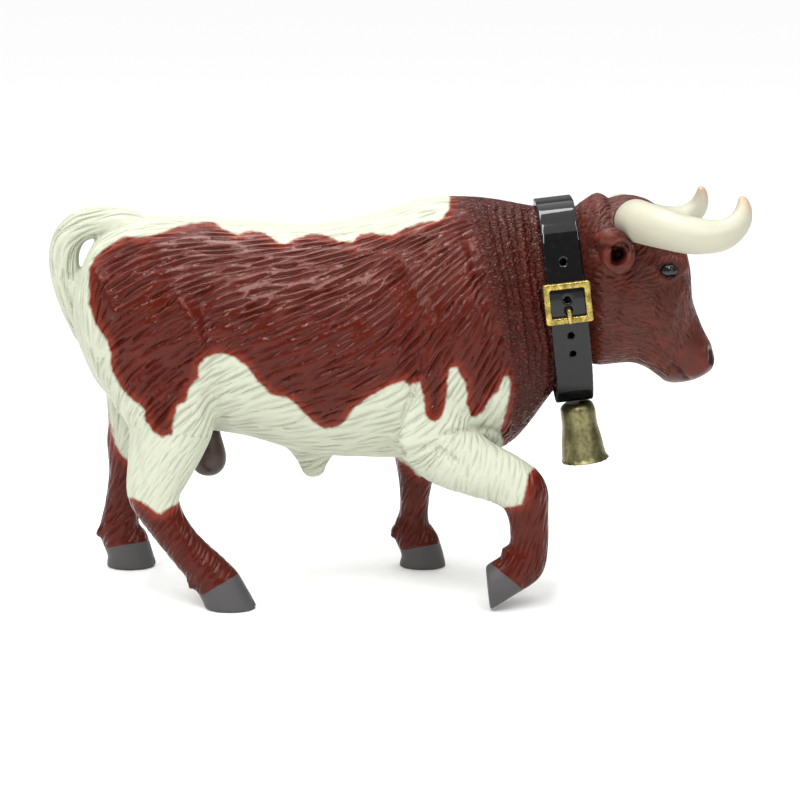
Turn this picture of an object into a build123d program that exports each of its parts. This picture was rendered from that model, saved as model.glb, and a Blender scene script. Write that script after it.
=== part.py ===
from build123d import *
import os
from math import cos, radians, sin, sqrt, tan

# Walking horned bull figurine. The trunk carries plugged-in legs, tail, head and
# horns, and a buckled strap round the neck carries a small hung bell.
# The figure is built with X forward from the rump, Y to its left and Z up from the
# ground, and is then moved so that the middle of its box stands over the origin.
# All lengths are in millimetres.

# Trunk and neck
TRUNK_LENGTH = 107.0
WITHERS_HEIGHT = 89.3
BARREL_WIDTH = 42.0
NECK_WIDTH = 27.0
NECK_HEIGHT = 41.0
NECK_MIDDLE_HEIGHT = 67.2
COLLAR_TILT_DEG = 6.8

# Limbs
LEG_GIRTH = 8.4
HOOF_CLEFT_WIDTH = 0.9
HOOF_CLEFT_DEPTH = 3.0
DEWCLAW_LENGTH = 2.2
DEWCLAW_DIAMETER = 2.4
LEG_PEG_DIAMETER = 5.0
LEG_PEG_LENGTH = 6.0

# Head, horns and ears
HEAD_LENGTH = 34.0
HEAD_WIDTH = 26.0
HEAD_ROLL_DEG = 4.2
NECK_PEG_DIAMETER = 12.0
NECK_PEG_LENGTH = 8.0
HORN_SPREAD = 64.0
HORN_REACH = 20.5
HORN_RISE = 8.2
HORN_DIAMETER = 9.2
HORN_PEG_DIAMETER = 4.0
HORN_PEG_LENGTH = 4.0
EAR_REACH = 12.5
EAR_WIDTH = 8.0
EAR_HEIGHT = 8.8
EAR_HOLLOW_DEPTH = 5.0
EAR_WALL = 1.3

# Tail and underside
TAIL_SWING = 15.0
TAIL_DROP = 32.0
TAIL_DIAMETER = 7.2
TAIL_PEG_DIAMETER = 3.6
TAIL_PEG_LENGTH = 5.0
SCROTUM_WIDTH = 7.8
SCROTUM_DROP = 11.5
SCROTUM_PEG_DIAMETER = 3.0
SCROTUM_PEG_LENGTH = 7.0
SHEATH_LENGTH = 13.0
SHEATH_DROP = 6.0

# Collar
STRAP_WIDTH = 8.3
STRAP_THICKNESS = 1.2
STRAP_SLACK = 2.2
STRAP_HOLE_DIAMETER = 1.4
STRAP_HOLE_PITCH = 8.0
BUCKLE_WIDTH = 10.2
BUCKLE_HEIGHT = 8.9
BUCKLE_BAR = 1.35
BUCKLE_THICKNESS = 1.2
BUCKLE_CORNER = 0.5
PRONG_DIAMETER = 1.1

# Bell
BELL_HEIGHT = 13.4
BELL_CROWN_WIDTH = 7.4
BELL_MOUTH_WIDTH = 10.8
BELL_WALL = 0.8
BELL_LEAN_DEG = 8.0
BELL_SWING_DEG = 6.0
BELL_GAP = 0.5
BELL_FORWARD = 2.0
BELL_PIN_DIAMETER = 0.8
BELL_PIN_LENGTH = 4.0
LUG_WIDTH = 1.8
LUG_THICKNESS = 1.2
LUG_FORWARD = 1.35
CLAPPER_PIN_DIAMETER = 0.7
CLAPPER_LENGTH = 4.6
CLAPPER_BALL_DIAMETER = 2.4
CLAPPER_ROD_DIAMETER = 0.9

# Fits
GLUE_GAP = 0.08
RUNNING_GAP = 0.05
STRAP_GAP = 0.15
SLOT_PLAY = 0.2
OVERRUN = 1.0

# How full the corners of every organic section are, where a plain ellipse has 0.55
FULLNESS_SHARE = 0.58
# Quarters of a section, anticlockwise: the signs of the half sizes where each one starts
QUARTER_SIGNS = [(1, 0), (0, 1), (-1, 0), (0, -1)]

# Trunk sections from rump to neck: along the trunk, top and bottom as shares of the
# withers height, half width as a share of the barrel, lean as a share of the collar's tilt
TRUNK_SHARES = [
    (-0.012, 0.780, 0.660, 0.12, 0.0),
    (0.00, 0.815, 0.620, 0.23, 0.0),
    (0.04, 0.900, 0.520, 0.36, 0.0),
    (0.12, 0.945, 0.445, 0.45, 0.0),
    (0.23, 0.950, 0.420, 0.49, 0.0),
    (0.34, 0.940, 0.400, 0.475, 0.0),
    (0.47, 0.930, 0.355, 0.49, 0.0),
    (0.60, 0.955, 0.345, 0.50, 0.0),
    (0.71, 0.995, 0.345, 0.49, 0.0),
    (0.80, 1.000, 0.350, 0.465, 0.3),
    (0.88, 0.993, 0.385, 0.425, 0.6),
]

# Leg sections from inside the trunk to the coronet: along the trunk, out from the middle
# as a share of the barrel, up as a share of the withers height, then the half sizes fore
# and aft and across as shares of the leg's girth
RIGHT_HIND_SHARES = [
    (0.170, 0.235, 0.655, 1.70, 1.03),
    (0.187, 0.275, 0.530, 1.48, 1.00),
    (0.190, 0.310, 0.440, 1.10, 0.84),
    (0.165, 0.345, 0.336, 0.82, 0.66),
    (0.159, 0.365, 0.283, 0.70, 0.57),
    (0.176, 0.375, 0.229, 0.54, 0.48),
    (0.216, 0.385, 0.159, 0.49, 0.43),
    (0.264, 0.390, 0.095, 0.55, 0.47),
    (0.289, 0.390, 0.058, 0.60, 0.50),
]
LEFT_HIND_SHARES = [
    (0.138, 0.240, 0.640, 1.68, 1.05),
    (0.125, 0.280, 0.500, 1.32, 1.00),
    (0.098, 0.320, 0.400, 0.95, 0.80),
    (0.072, 0.360, 0.338, 0.64, 0.56),
    (0.063, 0.375, 0.255, 0.49, 0.45),
    (0.051, 0.385, 0.168, 0.48, 0.42),
    (0.045, 0.390, 0.100, 0.57, 0.48),
    (0.060, 0.390, 0.060, 0.64, 0.52),
]
LEFT_FORE_SHARES = [
    (0.696, 0.220, 0.580, 1.25, 0.95),
    (0.696, 0.280, 0.430, 1.00, 0.85),
    (0.698, 0.330, 0.322, 0.68, 0.62),
    (0.695, 0.370, 0.222, 0.46, 0.46),
    (0.692, 0.385, 0.148, 0.41, 0.40),
    (0.689, 0.390, 0.100, 0.54, 0.47),
    (0.706, 0.390, 0.055, 0.58, 0.50),
]
RIGHT_FORE_SHARES = [
    (0.715, 0.230, 0.580, 1.25, 0.95),
    (0.720, 0.290, 0.465, 1.10, 0.90),
    (0.757, 0.340, 0.395, 0.95, 0.78),
    (0.818, 0.375, 0.355, 0.78, 0.68),
    (0.874, 0.395, 0.328, 0.69, 0.60),
    (0.911, 0.405, 0.295, 0.68, 0.57),
    (0.924, 0.410, 0.235, 0.53, 0.46),
    (0.926, 0.410, 0.165, 0.51, 0.43),
    (0.915, 0.410, 0.117, 0.57, 0.48),
    (0.887, 0.410, 0.088, 0.53, 0.50),
]
# Sole of each hoof in the same shares, and the way that the sole faces along X and Z
RIGHT_HIND_SOLE_SHARES = (0.313, 0.390, 0.000, 0.69, 0.56)
LEFT_HIND_SOLE_SHARES = (0.068, 0.390, 0.000, 0.71, 0.58)
LEFT_FORE_SOLE_SHARES = (0.712, 0.390, 0.000, 0.68, 0.56)
RIGHT_FORE_SOLE_SHARES = (0.842, 0.410, 0.053, 0.59, 0.56)
FLAT_SOLE_WAY = (0, -1)
RAISED_SOLE_WAY = (-1, -0.1)
SEAT_STATION = 2
STEPS_PER_STATION = 3

# The boss that the head stands on under the strap, as a share of the neck's oval
NECK_BOSS_SHARE = 0.65

# The head is rolled about an axis this far above the neck's middle, as a share of the
# neck's height, and gradually over its first sections
ROLL_AXIS_SHARE = 0.321
ROLL_SECTIONS = 9
# Head sections from the throat to the nose: top and bottom points, each along the head's
# length and up from the neck's middle as a share of its height, and half width as a share
# of the head's
HEAD_SHARES = [
    (0.226, 0.515, 0.235, -0.380, 0.49),
    (0.415, 0.548, 0.356, -0.367, 0.50),
    (0.597, 0.491, 0.462, -0.363, 0.48),
    (0.753, 0.321, 0.556, -0.393, 0.45),
    (0.815, 0.173, 0.620, -0.432, 0.41),
    (0.838, -0.008, 0.688, -0.469, 0.34),
    (0.906, -0.162, 0.779, -0.469, 0.30),
    (0.968, -0.262, 0.871, -0.448, 0.28),
    (0.991, -0.332, 0.944, -0.411, 0.20),
]

# Horn sections: forward as a share of the reach, out as a share of half the spread, up as
# a share of the rise, and radius as a share of the base
HORN_ROOT_ALONG_SHARE = 0.42
HORN_ROOT_HEIGHT_SHARE = 0.419
HORN_SHARES = [
    (0.050, 0.190, 0.01, 0.95),
    (0.000, 0.420, 0.02, 1.00),
    (0.020, 0.590, 0.02, 0.98),
    (0.210, 0.800, -0.10, 0.92),
    (0.500, 0.950, -0.26, 0.83),
    (0.770, 1.000, -0.23, 0.70),
    (0.940, 0.985, 0.08, 0.54),
    (0.990, 0.955, 0.43, 0.38),
    (0.975, 0.925, 0.74, 0.18),
]
HORN_SEAT_STATION = 1
HORN_SECTION_TURN = (1, 1, -1)

# The ear's place behind and below the horn's root, as shares of the horn's diameter, and out
# as a share of the head's width; then its sections, out as a share of its reach and half
# sizes as shares of its own
EAR_BACK_SHARE = 0.49
EAR_BELOW_SHARE = 0.58
EAR_SIDE_SHARE = 0.36
EAR_DROOP_SHARE = 0.13
EAR_SHARES = [(-0.40, 0.55), (0.38, 0.90), (0.80, 1.00), (1.00, 0.84)]

# Tail sections: back and down from the root, radius as a share of the tail's own
TAIL_ROOT_ALONG_SHARE = 0.105
TAIL_ROOT_HEIGHT_SHARE = 0.925
TAIL_SHARES = [
    (-0.30, 0.060, 0.90),
    (0.08, -0.010, 1.03),
    (0.48, -0.035, 1.00),
    (0.83, 0.030, 0.97),
    (0.99, 0.190, 0.94),
    (0.95, 0.420, 0.88),
    (0.83, 0.640, 0.70),
    (0.68, 0.820, 0.50),
    (0.52, 0.950, 0.28),
]
TAIL_PEG_WAY = (0.8, 0, -0.6)

# Scrotum and sheath sections: down from the root, half size as a share of half the width
SCROTUM_ALONG_SHARE = 0.257
SCROTUM_ROOT_HEIGHT_SHARE = 0.42
SCROTUM_SEAT_SHARE = 0.30
SCROTUM_SHARES = [(-0.20, 0.62), (0.15, 0.74), (0.50, 1.00), (0.80, 0.96), (0.96, 0.55), (1.00, 0.22)]
SHEATH_ALONG_SHARE = 0.478
SHEATH_ROOT_HEIGHT_SHARE = 0.352
SHEATH_ACROSS_SHARE = 0.66
SHEATH_SHARES = [(-0.75, 1.00), (0.00, 0.80), (0.50, 0.52), (0.85, 0.38), (1.00, 0.20)]

# Strap holes above and below the buckle's middle, in pitches, and the buckle's place
BUCKLE_HEIGHT_SHARE = 0.02
STRAP_HOLE_SHARES = (1.07, 0.07, -0.92, -1.45)

# Bell sections: down from the crown, and half width between the crown's and the mouth's
BELL_DEPTH_RATIO = 1.08
BELL_SHARES = [(0.00, -0.75), (0.05, -0.14), (0.14, 0.00), (0.50, 0.14), (0.80, 0.46), (1.00, 1.00)]
CLAPPER_PIVOT_SHARE = 0.20

AXES = {"X": Vector(1, 0, 0), "Y": Vector(0, 1, 0), "Z": Vector(0, 0, 1)}
DOWN = AXES["Z"] * -1
RIGHT_SIDE = -1
LEFT_SIDE = 1


def oval(plane, half_x, half_y, half_low=None):
    """A closed organic section on a plane, from its half sizes across, up and down."""
    quarters = []
    for x, y in QUARTER_SIGNS:
        high = half_low if half_low and (y < 0 or x < 0) else half_y
        start = Vector(x * half_x, y * high)
        end = Vector(-y * half_x, x * high)
        quarters.append(Bezier(start, start + end * FULLNESS_SHARE, end + start * FULLNESS_SHARE, end))
    return plane * make_face(quarters)


def blend(before, start, end, after, t):
    """A value between two stations, on the smooth curve through their neighbours too."""
    slope_in = (end - before) / 2
    slope_out = (after - start) / 2
    cubic = slope_in + slope_out - 2 * (end - start)
    square = end - start - slope_in - cubic
    return start + t * (slope_in + t * (square + t * cubic))


def in_between(rows):
    """The stations of a table with extra ones between them, on smooth curves."""
    last = len(rows) - 1
    dense = []
    for i in range(last):
        around = [rows[min(max(i + step, 0), last)] for step in (-1, 0, 1, 2)]
        for step in range(STEPS_PER_STATION):
            dense.append(tuple(blend(*values, step / STEPS_PER_STATION) for values in zip(*around)))
    return dense + [rows[-1]]


def ways(points):
    """The direction of a path at each of its points."""
    last = len(points) - 1
    return [
        (points[min(i + 1, last)] - points[max(i - 1, 0)]).normalized()
        for i in range(len(points))
    ]


def section_plane(point, way):
    """A plane square to a path, whose X lies fore and aft and whose Y points across."""
    return Plane(origin=point, x_dir=AXES["Y"].cross(way), z_dir=way)


def stud(plane, diameter, length, root):
    """A round bar through a plane, longer on the side that the plane's Z points away from."""
    bar = Cylinder(diameter / 2, length + root, align=(Align.CENTER, Align.CENTER, Align.MAX))
    return plane.offset(root) * bar


def peg(plane, diameter, length):
    """The peg that stands on a seat, rooted in the piece behind it."""
    return stud(plane, diameter, length, diameter / 2)


def socket(plane, diameter, length):
    """The hole for a peg, with the glue gap round it and at its end, open past the seat."""
    return stud(plane, diameter + 2 * GLUE_GAP, length + GLUE_GAP, diameter)


# Planes that several pieces share
COLLAR_PLANE = Plane(
    origin=(TRUNK_LENGTH, 0, NECK_MIDDLE_HEIGHT),
    x_dir=AXES["Y"],
    z_dir=(cos(radians(COLLAR_TILT_DEG)), 0, sin(radians(COLLAR_TILT_DEG))),
)
STRAP_INNER_WIDTH = NECK_WIDTH + 2 * STRAP_GAP
STRAP_INNER_RISE = NECK_HEIGHT / 2 + STRAP_GAP
STRAP_INNER_DROP = NECK_HEIGHT / 2 + STRAP_SLACK


def trunk_point(along, out, up, side):
    """A place on the figure, from its shares of the trunk's length, width and height."""
    return Vector(along * TRUNK_LENGTH, side * out * BARREL_WIDTH, up * WITHERS_HEIGHT)


def head_point(along, out, up):
    """A place on the head, from its shares of the head's length and width and the neck's height."""
    return Vector(
        TRUNK_LENGTH + along * HEAD_LENGTH, out * HEAD_WIDTH, NECK_MIDDLE_HEIGHT + up * NECK_HEIGHT
    )


def make_trunk():
    """The barrel from the rump to the middle of the collar, without its stumps."""
    rows = []
    for along, top, bottom, half_width, lean in TRUNK_SHARES:
        middle = (top + bottom) / 2 * WITHERS_HEIGHT
        half_height = (top - bottom) / 2 * WITHERS_HEIGHT
        rows.append((along * TRUNK_LENGTH, middle, half_width * BARREL_WIDTH, half_height, lean))
    neck_plane = COLLAR_PLANE.offset(-STRAP_WIDTH / 2)
    rows.append((neck_plane.origin.X, neck_plane.origin.Z, NECK_WIDTH / 2, NECK_HEIGHT / 2, 1))
    sections = []
    for along, middle, half_width, half_height, lean in in_between(rows):
        tilt = radians(lean * COLLAR_TILT_DEG)
        plane = Plane(origin=(along, 0, middle), x_dir=AXES["Y"], z_dir=(cos(tilt), 0, sin(tilt)))
        sections.append(oval(plane, half_width, half_height))
    return loft(sections) + extrude(sections[-1], STRAP_WIDTH / 2, dir=COLLAR_PLANE.z_dir)


class Leg:
    """One leg: a stump that belongs to the trunk, and a plug-in limb with its hoof."""

    def __init__(self, trunk, stations, sole_shares, sole_way, side):
        shares = in_between(stations)
        points = [trunk_point(along, out, up, side) for along, out, up, _, _ in shares]
        directions = ways(points)
        sections = [
            oval(section_plane(point, way), fore * LEG_GIRTH, across * LEG_GIRTH)
            for point, way, (_, _, _, fore, across) in zip(points, directions, shares)
        ]
        limb = loft(sections)
        seat_row = SEAT_STATION * STEPS_PER_STATION
        self.seat = section_plane(points[seat_row], directions[seat_row])
        self.stump = split(limb, bisect_by=self.seat, keep=Keep.BOTTOM)
        along, out, up, fore, across = sole_shares
        self.sole = trunk_point(along, out, up, side)
        face_way = Vector(sole_way[0], 0, sole_way[1]).normalized()
        sole = oval(section_plane(self.sole, face_way), fore * LEG_GIRTH, across * LEG_GIRTH)
        hoof = loft([sections[-1], sole])
        toe_way = section_plane(self.sole, face_way).x_dir * -1
        cleft_middle = self.sole + toe_way * (fore * LEG_GIRTH - HOOF_CLEFT_DEPTH / 2)
        cleft_size = HOOF_CLEFT_DEPTH + OVERRUN
        cleft = Plane(origin=cleft_middle + toe_way * OVERRUN / 2, x_dir=toe_way, z_dir=face_way) * Box(
            cleft_size, HOOF_CLEFT_WIDTH, cleft_size
        )
        shin = split(limb, bisect_by=self.seat, keep=Keep.TOP) + hoof - cleft
        fetlock = len(shares) - 1 - STEPS_PER_STATION
        backwards = AXES["Y"].cross(directions[fetlock])
        heel = points[fetlock] + backwards * shares[fetlock][3] * LEG_GIRTH
        claw_way = (directions[fetlock] + backwards).normalized()
        for hand in (RIGHT_SIDE, LEFT_SIDE):
            at = heel + AXES["Y"] * hand * DEWCLAW_DIAMETER / 2
            claw = Plane(origin=at, z_dir=claw_way) * Cone(
                DEWCLAW_DIAMETER / 2, DEWCLAW_DIAMETER / 4, DEWCLAW_LENGTH,
            )
            shin += claw
        ground = Pos(self.sole.X, self.sole.Y, 0) * Box(
            TRUNK_LENGTH, BARREL_WIDTH, LEG_GIRTH, align=(Align.CENTER, Align.CENTER, Align.MAX)
        )
        self.limb = shin - ground - trunk + peg(self.seat, LEG_PEG_DIAMETER, LEG_PEG_LENGTH)
        self.socket = socket(self.seat, LEG_PEG_DIAMETER, LEG_PEG_LENGTH)


def make_sac(along, root, drop, half_fore, half_across, shares):
    """A hanging form under the belly, as sections down from its root."""
    faces = []
    for down, size in shares:
        at = Plane(origin=(along * TRUNK_LENGTH, 0, root * WITHERS_HEIGHT - down * drop))
        faces.append(oval(at, size * half_fore, size * half_across))
    return loft(faces)


def make_tail():
    """The tail's sweep from inside the rump to its tip, before the rump is cut from it."""
    root = trunk_point(TAIL_ROOT_ALONG_SHARE, 0, TAIL_ROOT_HEIGHT_SHARE, LEFT_SIDE)
    shares = in_between(TAIL_SHARES)
    points = [root + Vector(-back * TAIL_SWING, 0, -down * TAIL_DROP) for back, down, _ in shares]
    faces = [
        oval(section_plane(point, way), size * TAIL_DIAMETER / 2, size * TAIL_DIAMETER / 2)
        for point, way, (_, _, size) in zip(points, ways(points), shares)
    ]
    return loft(faces), Plane(origin=points[STEPS_PER_STATION], z_dir=Vector(TAIL_PEG_WAY) * -1)


def head_roll(share):
    """The turn that lifts the head's right side, or a share of that turn."""
    axis = Pos(head_point(0, 0, ROLL_AXIS_SHARE))
    return axis * Rot(-share * HEAD_ROLL_DEG, 0, 0) * axis.inverse()


def make_skull():
    """The head from its neck plug to the nose, without horns or ears."""
    neck_length = STRAP_WIDTH / 4
    faces = [oval(COLLAR_PLANE.offset(neck_length), NECK_WIDTH / 2, NECK_HEIGHT / 2)]
    for top_along, top, low_along, bottom, half_width in in_between(HEAD_SHARES):
        roll = head_roll(min(len(faces) / ROLL_SECTIONS, 1))
        high = head_point(top_along, 0, top)
        low = head_point(low_along, 0, bottom)
        rise = high - low
        plane = Plane(
            origin=(high + low) / 2, x_dir=AXES["Y"], z_dir=AXES["Y"].cross(rise.normalized())
        )
        faces.append(roll * oval(plane, half_width * HEAD_WIDTH, rise.length / 2))
    boss = oval(COLLAR_PLANE, NECK_BOSS_SHARE * NECK_WIDTH / 2, NECK_BOSS_SHARE * NECK_HEIGHT / 2)
    neck = extrude(boss, 2 * neck_length, dir=COLLAR_PLANE.z_dir)
    plug = stud(COLLAR_PLANE, NECK_PEG_DIAMETER, NECK_PEG_LENGTH, neck_length / 2)
    return loft(faces) + (neck + plug)


def horn_root():
    """The middle of the poll, where both horns start."""
    return head_point(HORN_ROOT_ALONG_SHARE, 0, HORN_ROOT_HEIGHT_SHARE)


def make_horn():
    """The right horn's stump and outer part, and the plane where they meet."""
    shares = in_between(HORN_SHARES)
    points = [
        horn_root() + Vector(forward * HORN_REACH, RIGHT_SIDE * out * HORN_SPREAD / 2, up * HORN_RISE)
        for forward, out, up, _ in shares
    ]
    directions = ways(points)
    faces = []
    for point, way, (_, _, _, size) in zip(points, directions, shares):
        turn = Vector(HORN_SECTION_TURN)
        plane = Plane(origin=point, x_dir=turn - way * turn.dot(way), z_dir=way)
        faces.append(oval(plane, size * HORN_DIAMETER / 2, size * HORN_DIAMETER / 2))
    whole = loft(faces)
    seat_row = HORN_SEAT_STATION * STEPS_PER_STATION
    seat = Plane(origin=points[seat_row], z_dir=directions[seat_row])
    stump = split(whole, bisect_by=seat, keep=Keep.BOTTOM)
    outer = split(whole, bisect_by=seat, keep=Keep.TOP)
    return stump, outer, seat


def make_ear():
    """The right ear, a short cup that points out and droops, hollow at its open end."""
    base = horn_root() + Vector(
        -EAR_BACK_SHARE * HORN_DIAMETER, RIGHT_SIDE * EAR_SIDE_SHARE * HEAD_WIDTH, -EAR_BELOW_SHARE * HORN_DIAMETER
    )
    way = Vector(0, RIGHT_SIDE, -EAR_DROOP_SHARE).normalized()
    faces = []
    for out, size in EAR_SHARES:
        plane = Plane(origin=base + way * out * EAR_REACH, x_dir=AXES["X"], z_dir=way)
        faces.append(oval(plane, size * EAR_WIDTH / 2, size * EAR_HEIGHT / 2))
    rim_share = EAR_SHARES[-1][1]
    rim = Plane(origin=base + way * (EAR_REACH + OVERRUN), x_dir=AXES["X"], z_dir=way)
    floor = Plane(origin=base + way * (EAR_REACH - EAR_HOLLOW_DEPTH), x_dir=AXES["X"], z_dir=way)
    half_sizes = (rim_share * EAR_WIDTH / 2 - EAR_WALL, rim_share * EAR_HEIGHT / 2 - EAR_WALL)
    hollow = loft([oval(floor, *(size / 2 for size in half_sizes)), oval(rim, *half_sizes)])
    return loft(faces) - hollow


def strap_oval(growth):
    """The strap's loop, grown outwards from its inner face, on the collar's plane."""
    return oval(
        COLLAR_PLANE, STRAP_INNER_WIDTH / 2 + growth, STRAP_INNER_RISE + growth, STRAP_INNER_DROP + growth
    )


def strap_body(growth):
    """The solid inside one of the strap's faces, as wide as the strap."""
    return extrude(strap_oval(growth), STRAP_WIDTH / 2, dir=COLLAR_PLANE.z_dir, both=True)


STRAP_SIDE = STRAP_INNER_WIDTH / 2 + STRAP_THICKNESS
STRAP_BOTTOM = -STRAP_INNER_DROP
BUCKLE_MIDDLE = BUCKLE_HEIGHT_SHARE * NECK_HEIGHT
PRONG_HOLE = BUCKLE_MIDDLE - BUCKLE_HEIGHT / 2 + BUCKLE_BAR + STRAP_HOLE_DIAMETER
PIN_SAG = STRAP_INNER_DROP * (1 - sqrt(1 - (BELL_PIN_LENGTH / STRAP_INNER_WIDTH) ** 2))
PIVOT_RISE = PIN_SAG + BELL_PIN_DIAMETER / 2 + RUNNING_GAP
BELL_PIVOT = COLLAR_PLANE.from_local_coords(Vector(0, STRAP_BOTTOM + PIVOT_RISE, BELL_FORWARD))
CROWN_DROP = PIVOT_RISE + STRAP_THICKNESS + BELL_GAP
LUG_EYE_DIAMETER = BELL_PIN_DIAMETER + 2 * RUNNING_GAP


def make_strap():
    """The buckled strap with its punched holes and the slot for the bell's lug."""
    strap = strap_body(STRAP_THICKNESS) - extrude(
        strap_oval(0), STRAP_WIDTH / 2 + OVERRUN, dir=COLLAR_PLANE.z_dir, both=True
    )
    punched = [BUCKLE_MIDDLE + share * STRAP_HOLE_PITCH for share in STRAP_HOLE_SHARES]
    for height in punched + [PRONG_HOLE]:
        at = COLLAR_PLANE * Pos(-STRAP_SIDE, height, 0) * Rot(0, 90, 0)
        strap -= at * Cylinder(STRAP_HOLE_DIAMETER / 2, STRAP_INNER_WIDTH / 2)
    farthest = radians(BELL_LEAN_DEG + BELL_SWING_DEG - COLLAR_TILT_DEG)
    slot_length = LUG_WIDTH / cos(farthest) + 2 * (CROWN_DROP * tan(farthest) + SLOT_PLAY)
    slot = Box(LUG_THICKNESS + 2 * SLOT_PLAY, 2 * CROWN_DROP, slot_length)
    return strap - COLLAR_PLANE * Pos(0, STRAP_BOTTOM, BELL_FORWARD) * slot


def make_buckle():
    """The rectangular buckle frame, bedded on the strap's right side."""
    plate = Box(2 * BUCKLE_THICKNESS, BUCKLE_HEIGHT, BUCKLE_WIDTH)
    plate = fillet(plate.edges().filter_by(Axis.X), BUCKLE_CORNER)
    window = Box(
        2 * BUCKLE_THICKNESS + OVERRUN, BUCKLE_HEIGHT - 2 * BUCKLE_BAR, BUCKLE_WIDTH - 2 * BUCKLE_BAR
    )
    frame = COLLAR_PLANE * Pos(-STRAP_SIDE, BUCKLE_MIDDLE, 0) * (plate - window)
    bed = extrude(strap_oval(STRAP_THICKNESS + GLUE_GAP), BUCKLE_WIDTH, dir=COLLAR_PLANE.z_dir, both=True)
    return frame - bed


def make_prong():
    """The bent prong, from its hole in the strap out and over the frame's lower bar."""
    out = -STRAP_SIDE - BUCKLE_THICKNESS - GLUE_GAP - PRONG_DIAMETER / 2
    tip_height = BUCKLE_MIDDLE - BUCKLE_HEIGHT / 2 + PRONG_DIAMETER / 2
    reach = STRAP_THICKNESS - STRAP_SIDE - out
    shank = Pos(out, PRONG_HOLE, 0) * Rot(0, 90, 0) * Cylinder(
        PRONG_DIAMETER / 2, reach, align=(Align.CENTER, Align.CENTER, Align.MIN)
    )
    finger = Pos(out, PRONG_HOLE, 0) * Rot(90, 0, 0) * Cylinder(
        PRONG_DIAMETER / 2, PRONG_HOLE - tip_height, align=(Align.CENTER, Align.CENTER, Align.MIN)
    )
    elbow = Pos(out, PRONG_HOLE, 0) * Sphere(PRONG_DIAMETER / 2)
    tip = Pos(out, tip_height, 0) * Sphere(PRONG_DIAMETER / 2)
    return COLLAR_PLANE * (shank + finger + elbow + tip)


def bell_sections(inset, start, overrun):
    """The bell's outer form, or its inner one when inset, from its crown downwards."""
    faces = []
    for down, flare in BELL_SHARES:
        half = (BELL_CROWN_WIDTH + flare * (BELL_MOUTH_WIDTH - BELL_CROWN_WIDTH)) / 2
        depth = start + down * (BELL_HEIGHT - start)
        faces.append(oval(Plane(origin=(0, 0, -depth)), half - inset, half * BELL_DEPTH_RATIO - inset))
    solid = loft(faces)
    mouth = oval(Plane(origin=(0, 0, -BELL_HEIGHT)), BELL_MOUTH_WIDTH / 2 - inset,
                 BELL_MOUTH_WIDTH / 2 * BELL_DEPTH_RATIO - inset)
    return solid + extrude(mouth, overrun, dir=DOWN) if overrun else solid


def make_bell():
    """The bell shell with its lug, the clapper's pin, and the clapper's pivot."""
    outer = bell_sections(0, 0, 0)
    inner = bell_sections(BELL_WALL, BELL_WALL, OVERRUN)
    shell = outer - inner
    eye = Rot(90, 0, 0) * Cylinder(LUG_WIDTH / 2, LUG_THICKNESS)
    neck_length = CROWN_DROP + BELL_WALL / 2
    neck = Box(LUG_WIDTH, LUG_THICKNESS, neck_length, align=(Align.CENTER, Align.CENTER, Align.MAX))
    lug = eye + neck - Rot(90, 0, 0) * Cylinder(LUG_EYE_DIAMETER / 2, LUG_THICKNESS + OVERRUN)
    depth = CLAPPER_PIVOT_SHARE * BELL_HEIGHT
    half = BELL_CROWN_WIDTH / 2 * BELL_DEPTH_RATIO - BELL_WALL / 2
    pin = Pos(0, 0, -depth) * Rot(90, 0, 0) * Cylinder(CLAPPER_PIN_DIAMETER / 2, 2 * half)
    dimple = Pos(0, 0, -depth) * Rot(90, 0, 0) * Cylinder(
        CLAPPER_PIN_DIAMETER / 2 + GLUE_GAP, 2 * (half + GLUE_GAP)
    )
    lean = Pos(BELL_PIVOT) * Rot(0, -BELL_LEAN_DEG, 0)
    crown = Pos(-LUG_FORWARD, 0, -CROWN_DROP)
    bell = crown * (shell - dimple) + lug
    pivot = lean * crown * Pos(0, 0, -depth)
    return lean * bell, lean * crown * pin, pivot.position


def make_clapper(pivot):
    """The clapper, hanging straight down from its pin."""
    eye_size = CLAPPER_PIN_DIAMETER / 2 + RUNNING_GAP
    eye = Rot(90, 0, 0) * Cylinder(eye_size + CLAPPER_ROD_DIAMETER / 2, LUG_THICKNESS)
    rod = Cylinder(CLAPPER_ROD_DIAMETER / 2, CLAPPER_LENGTH, align=(Align.CENTER, Align.CENTER, Align.MAX))
    ball = Pos(0, 0, -CLAPPER_LENGTH) * Sphere(CLAPPER_BALL_DIAMETER / 2)
    hole = Rot(90, 0, 0) * Cylinder(eye_size, LUG_THICKNESS + OVERRUN)
    return Pos(pivot) * (eye + rod + ball - hole)


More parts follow.
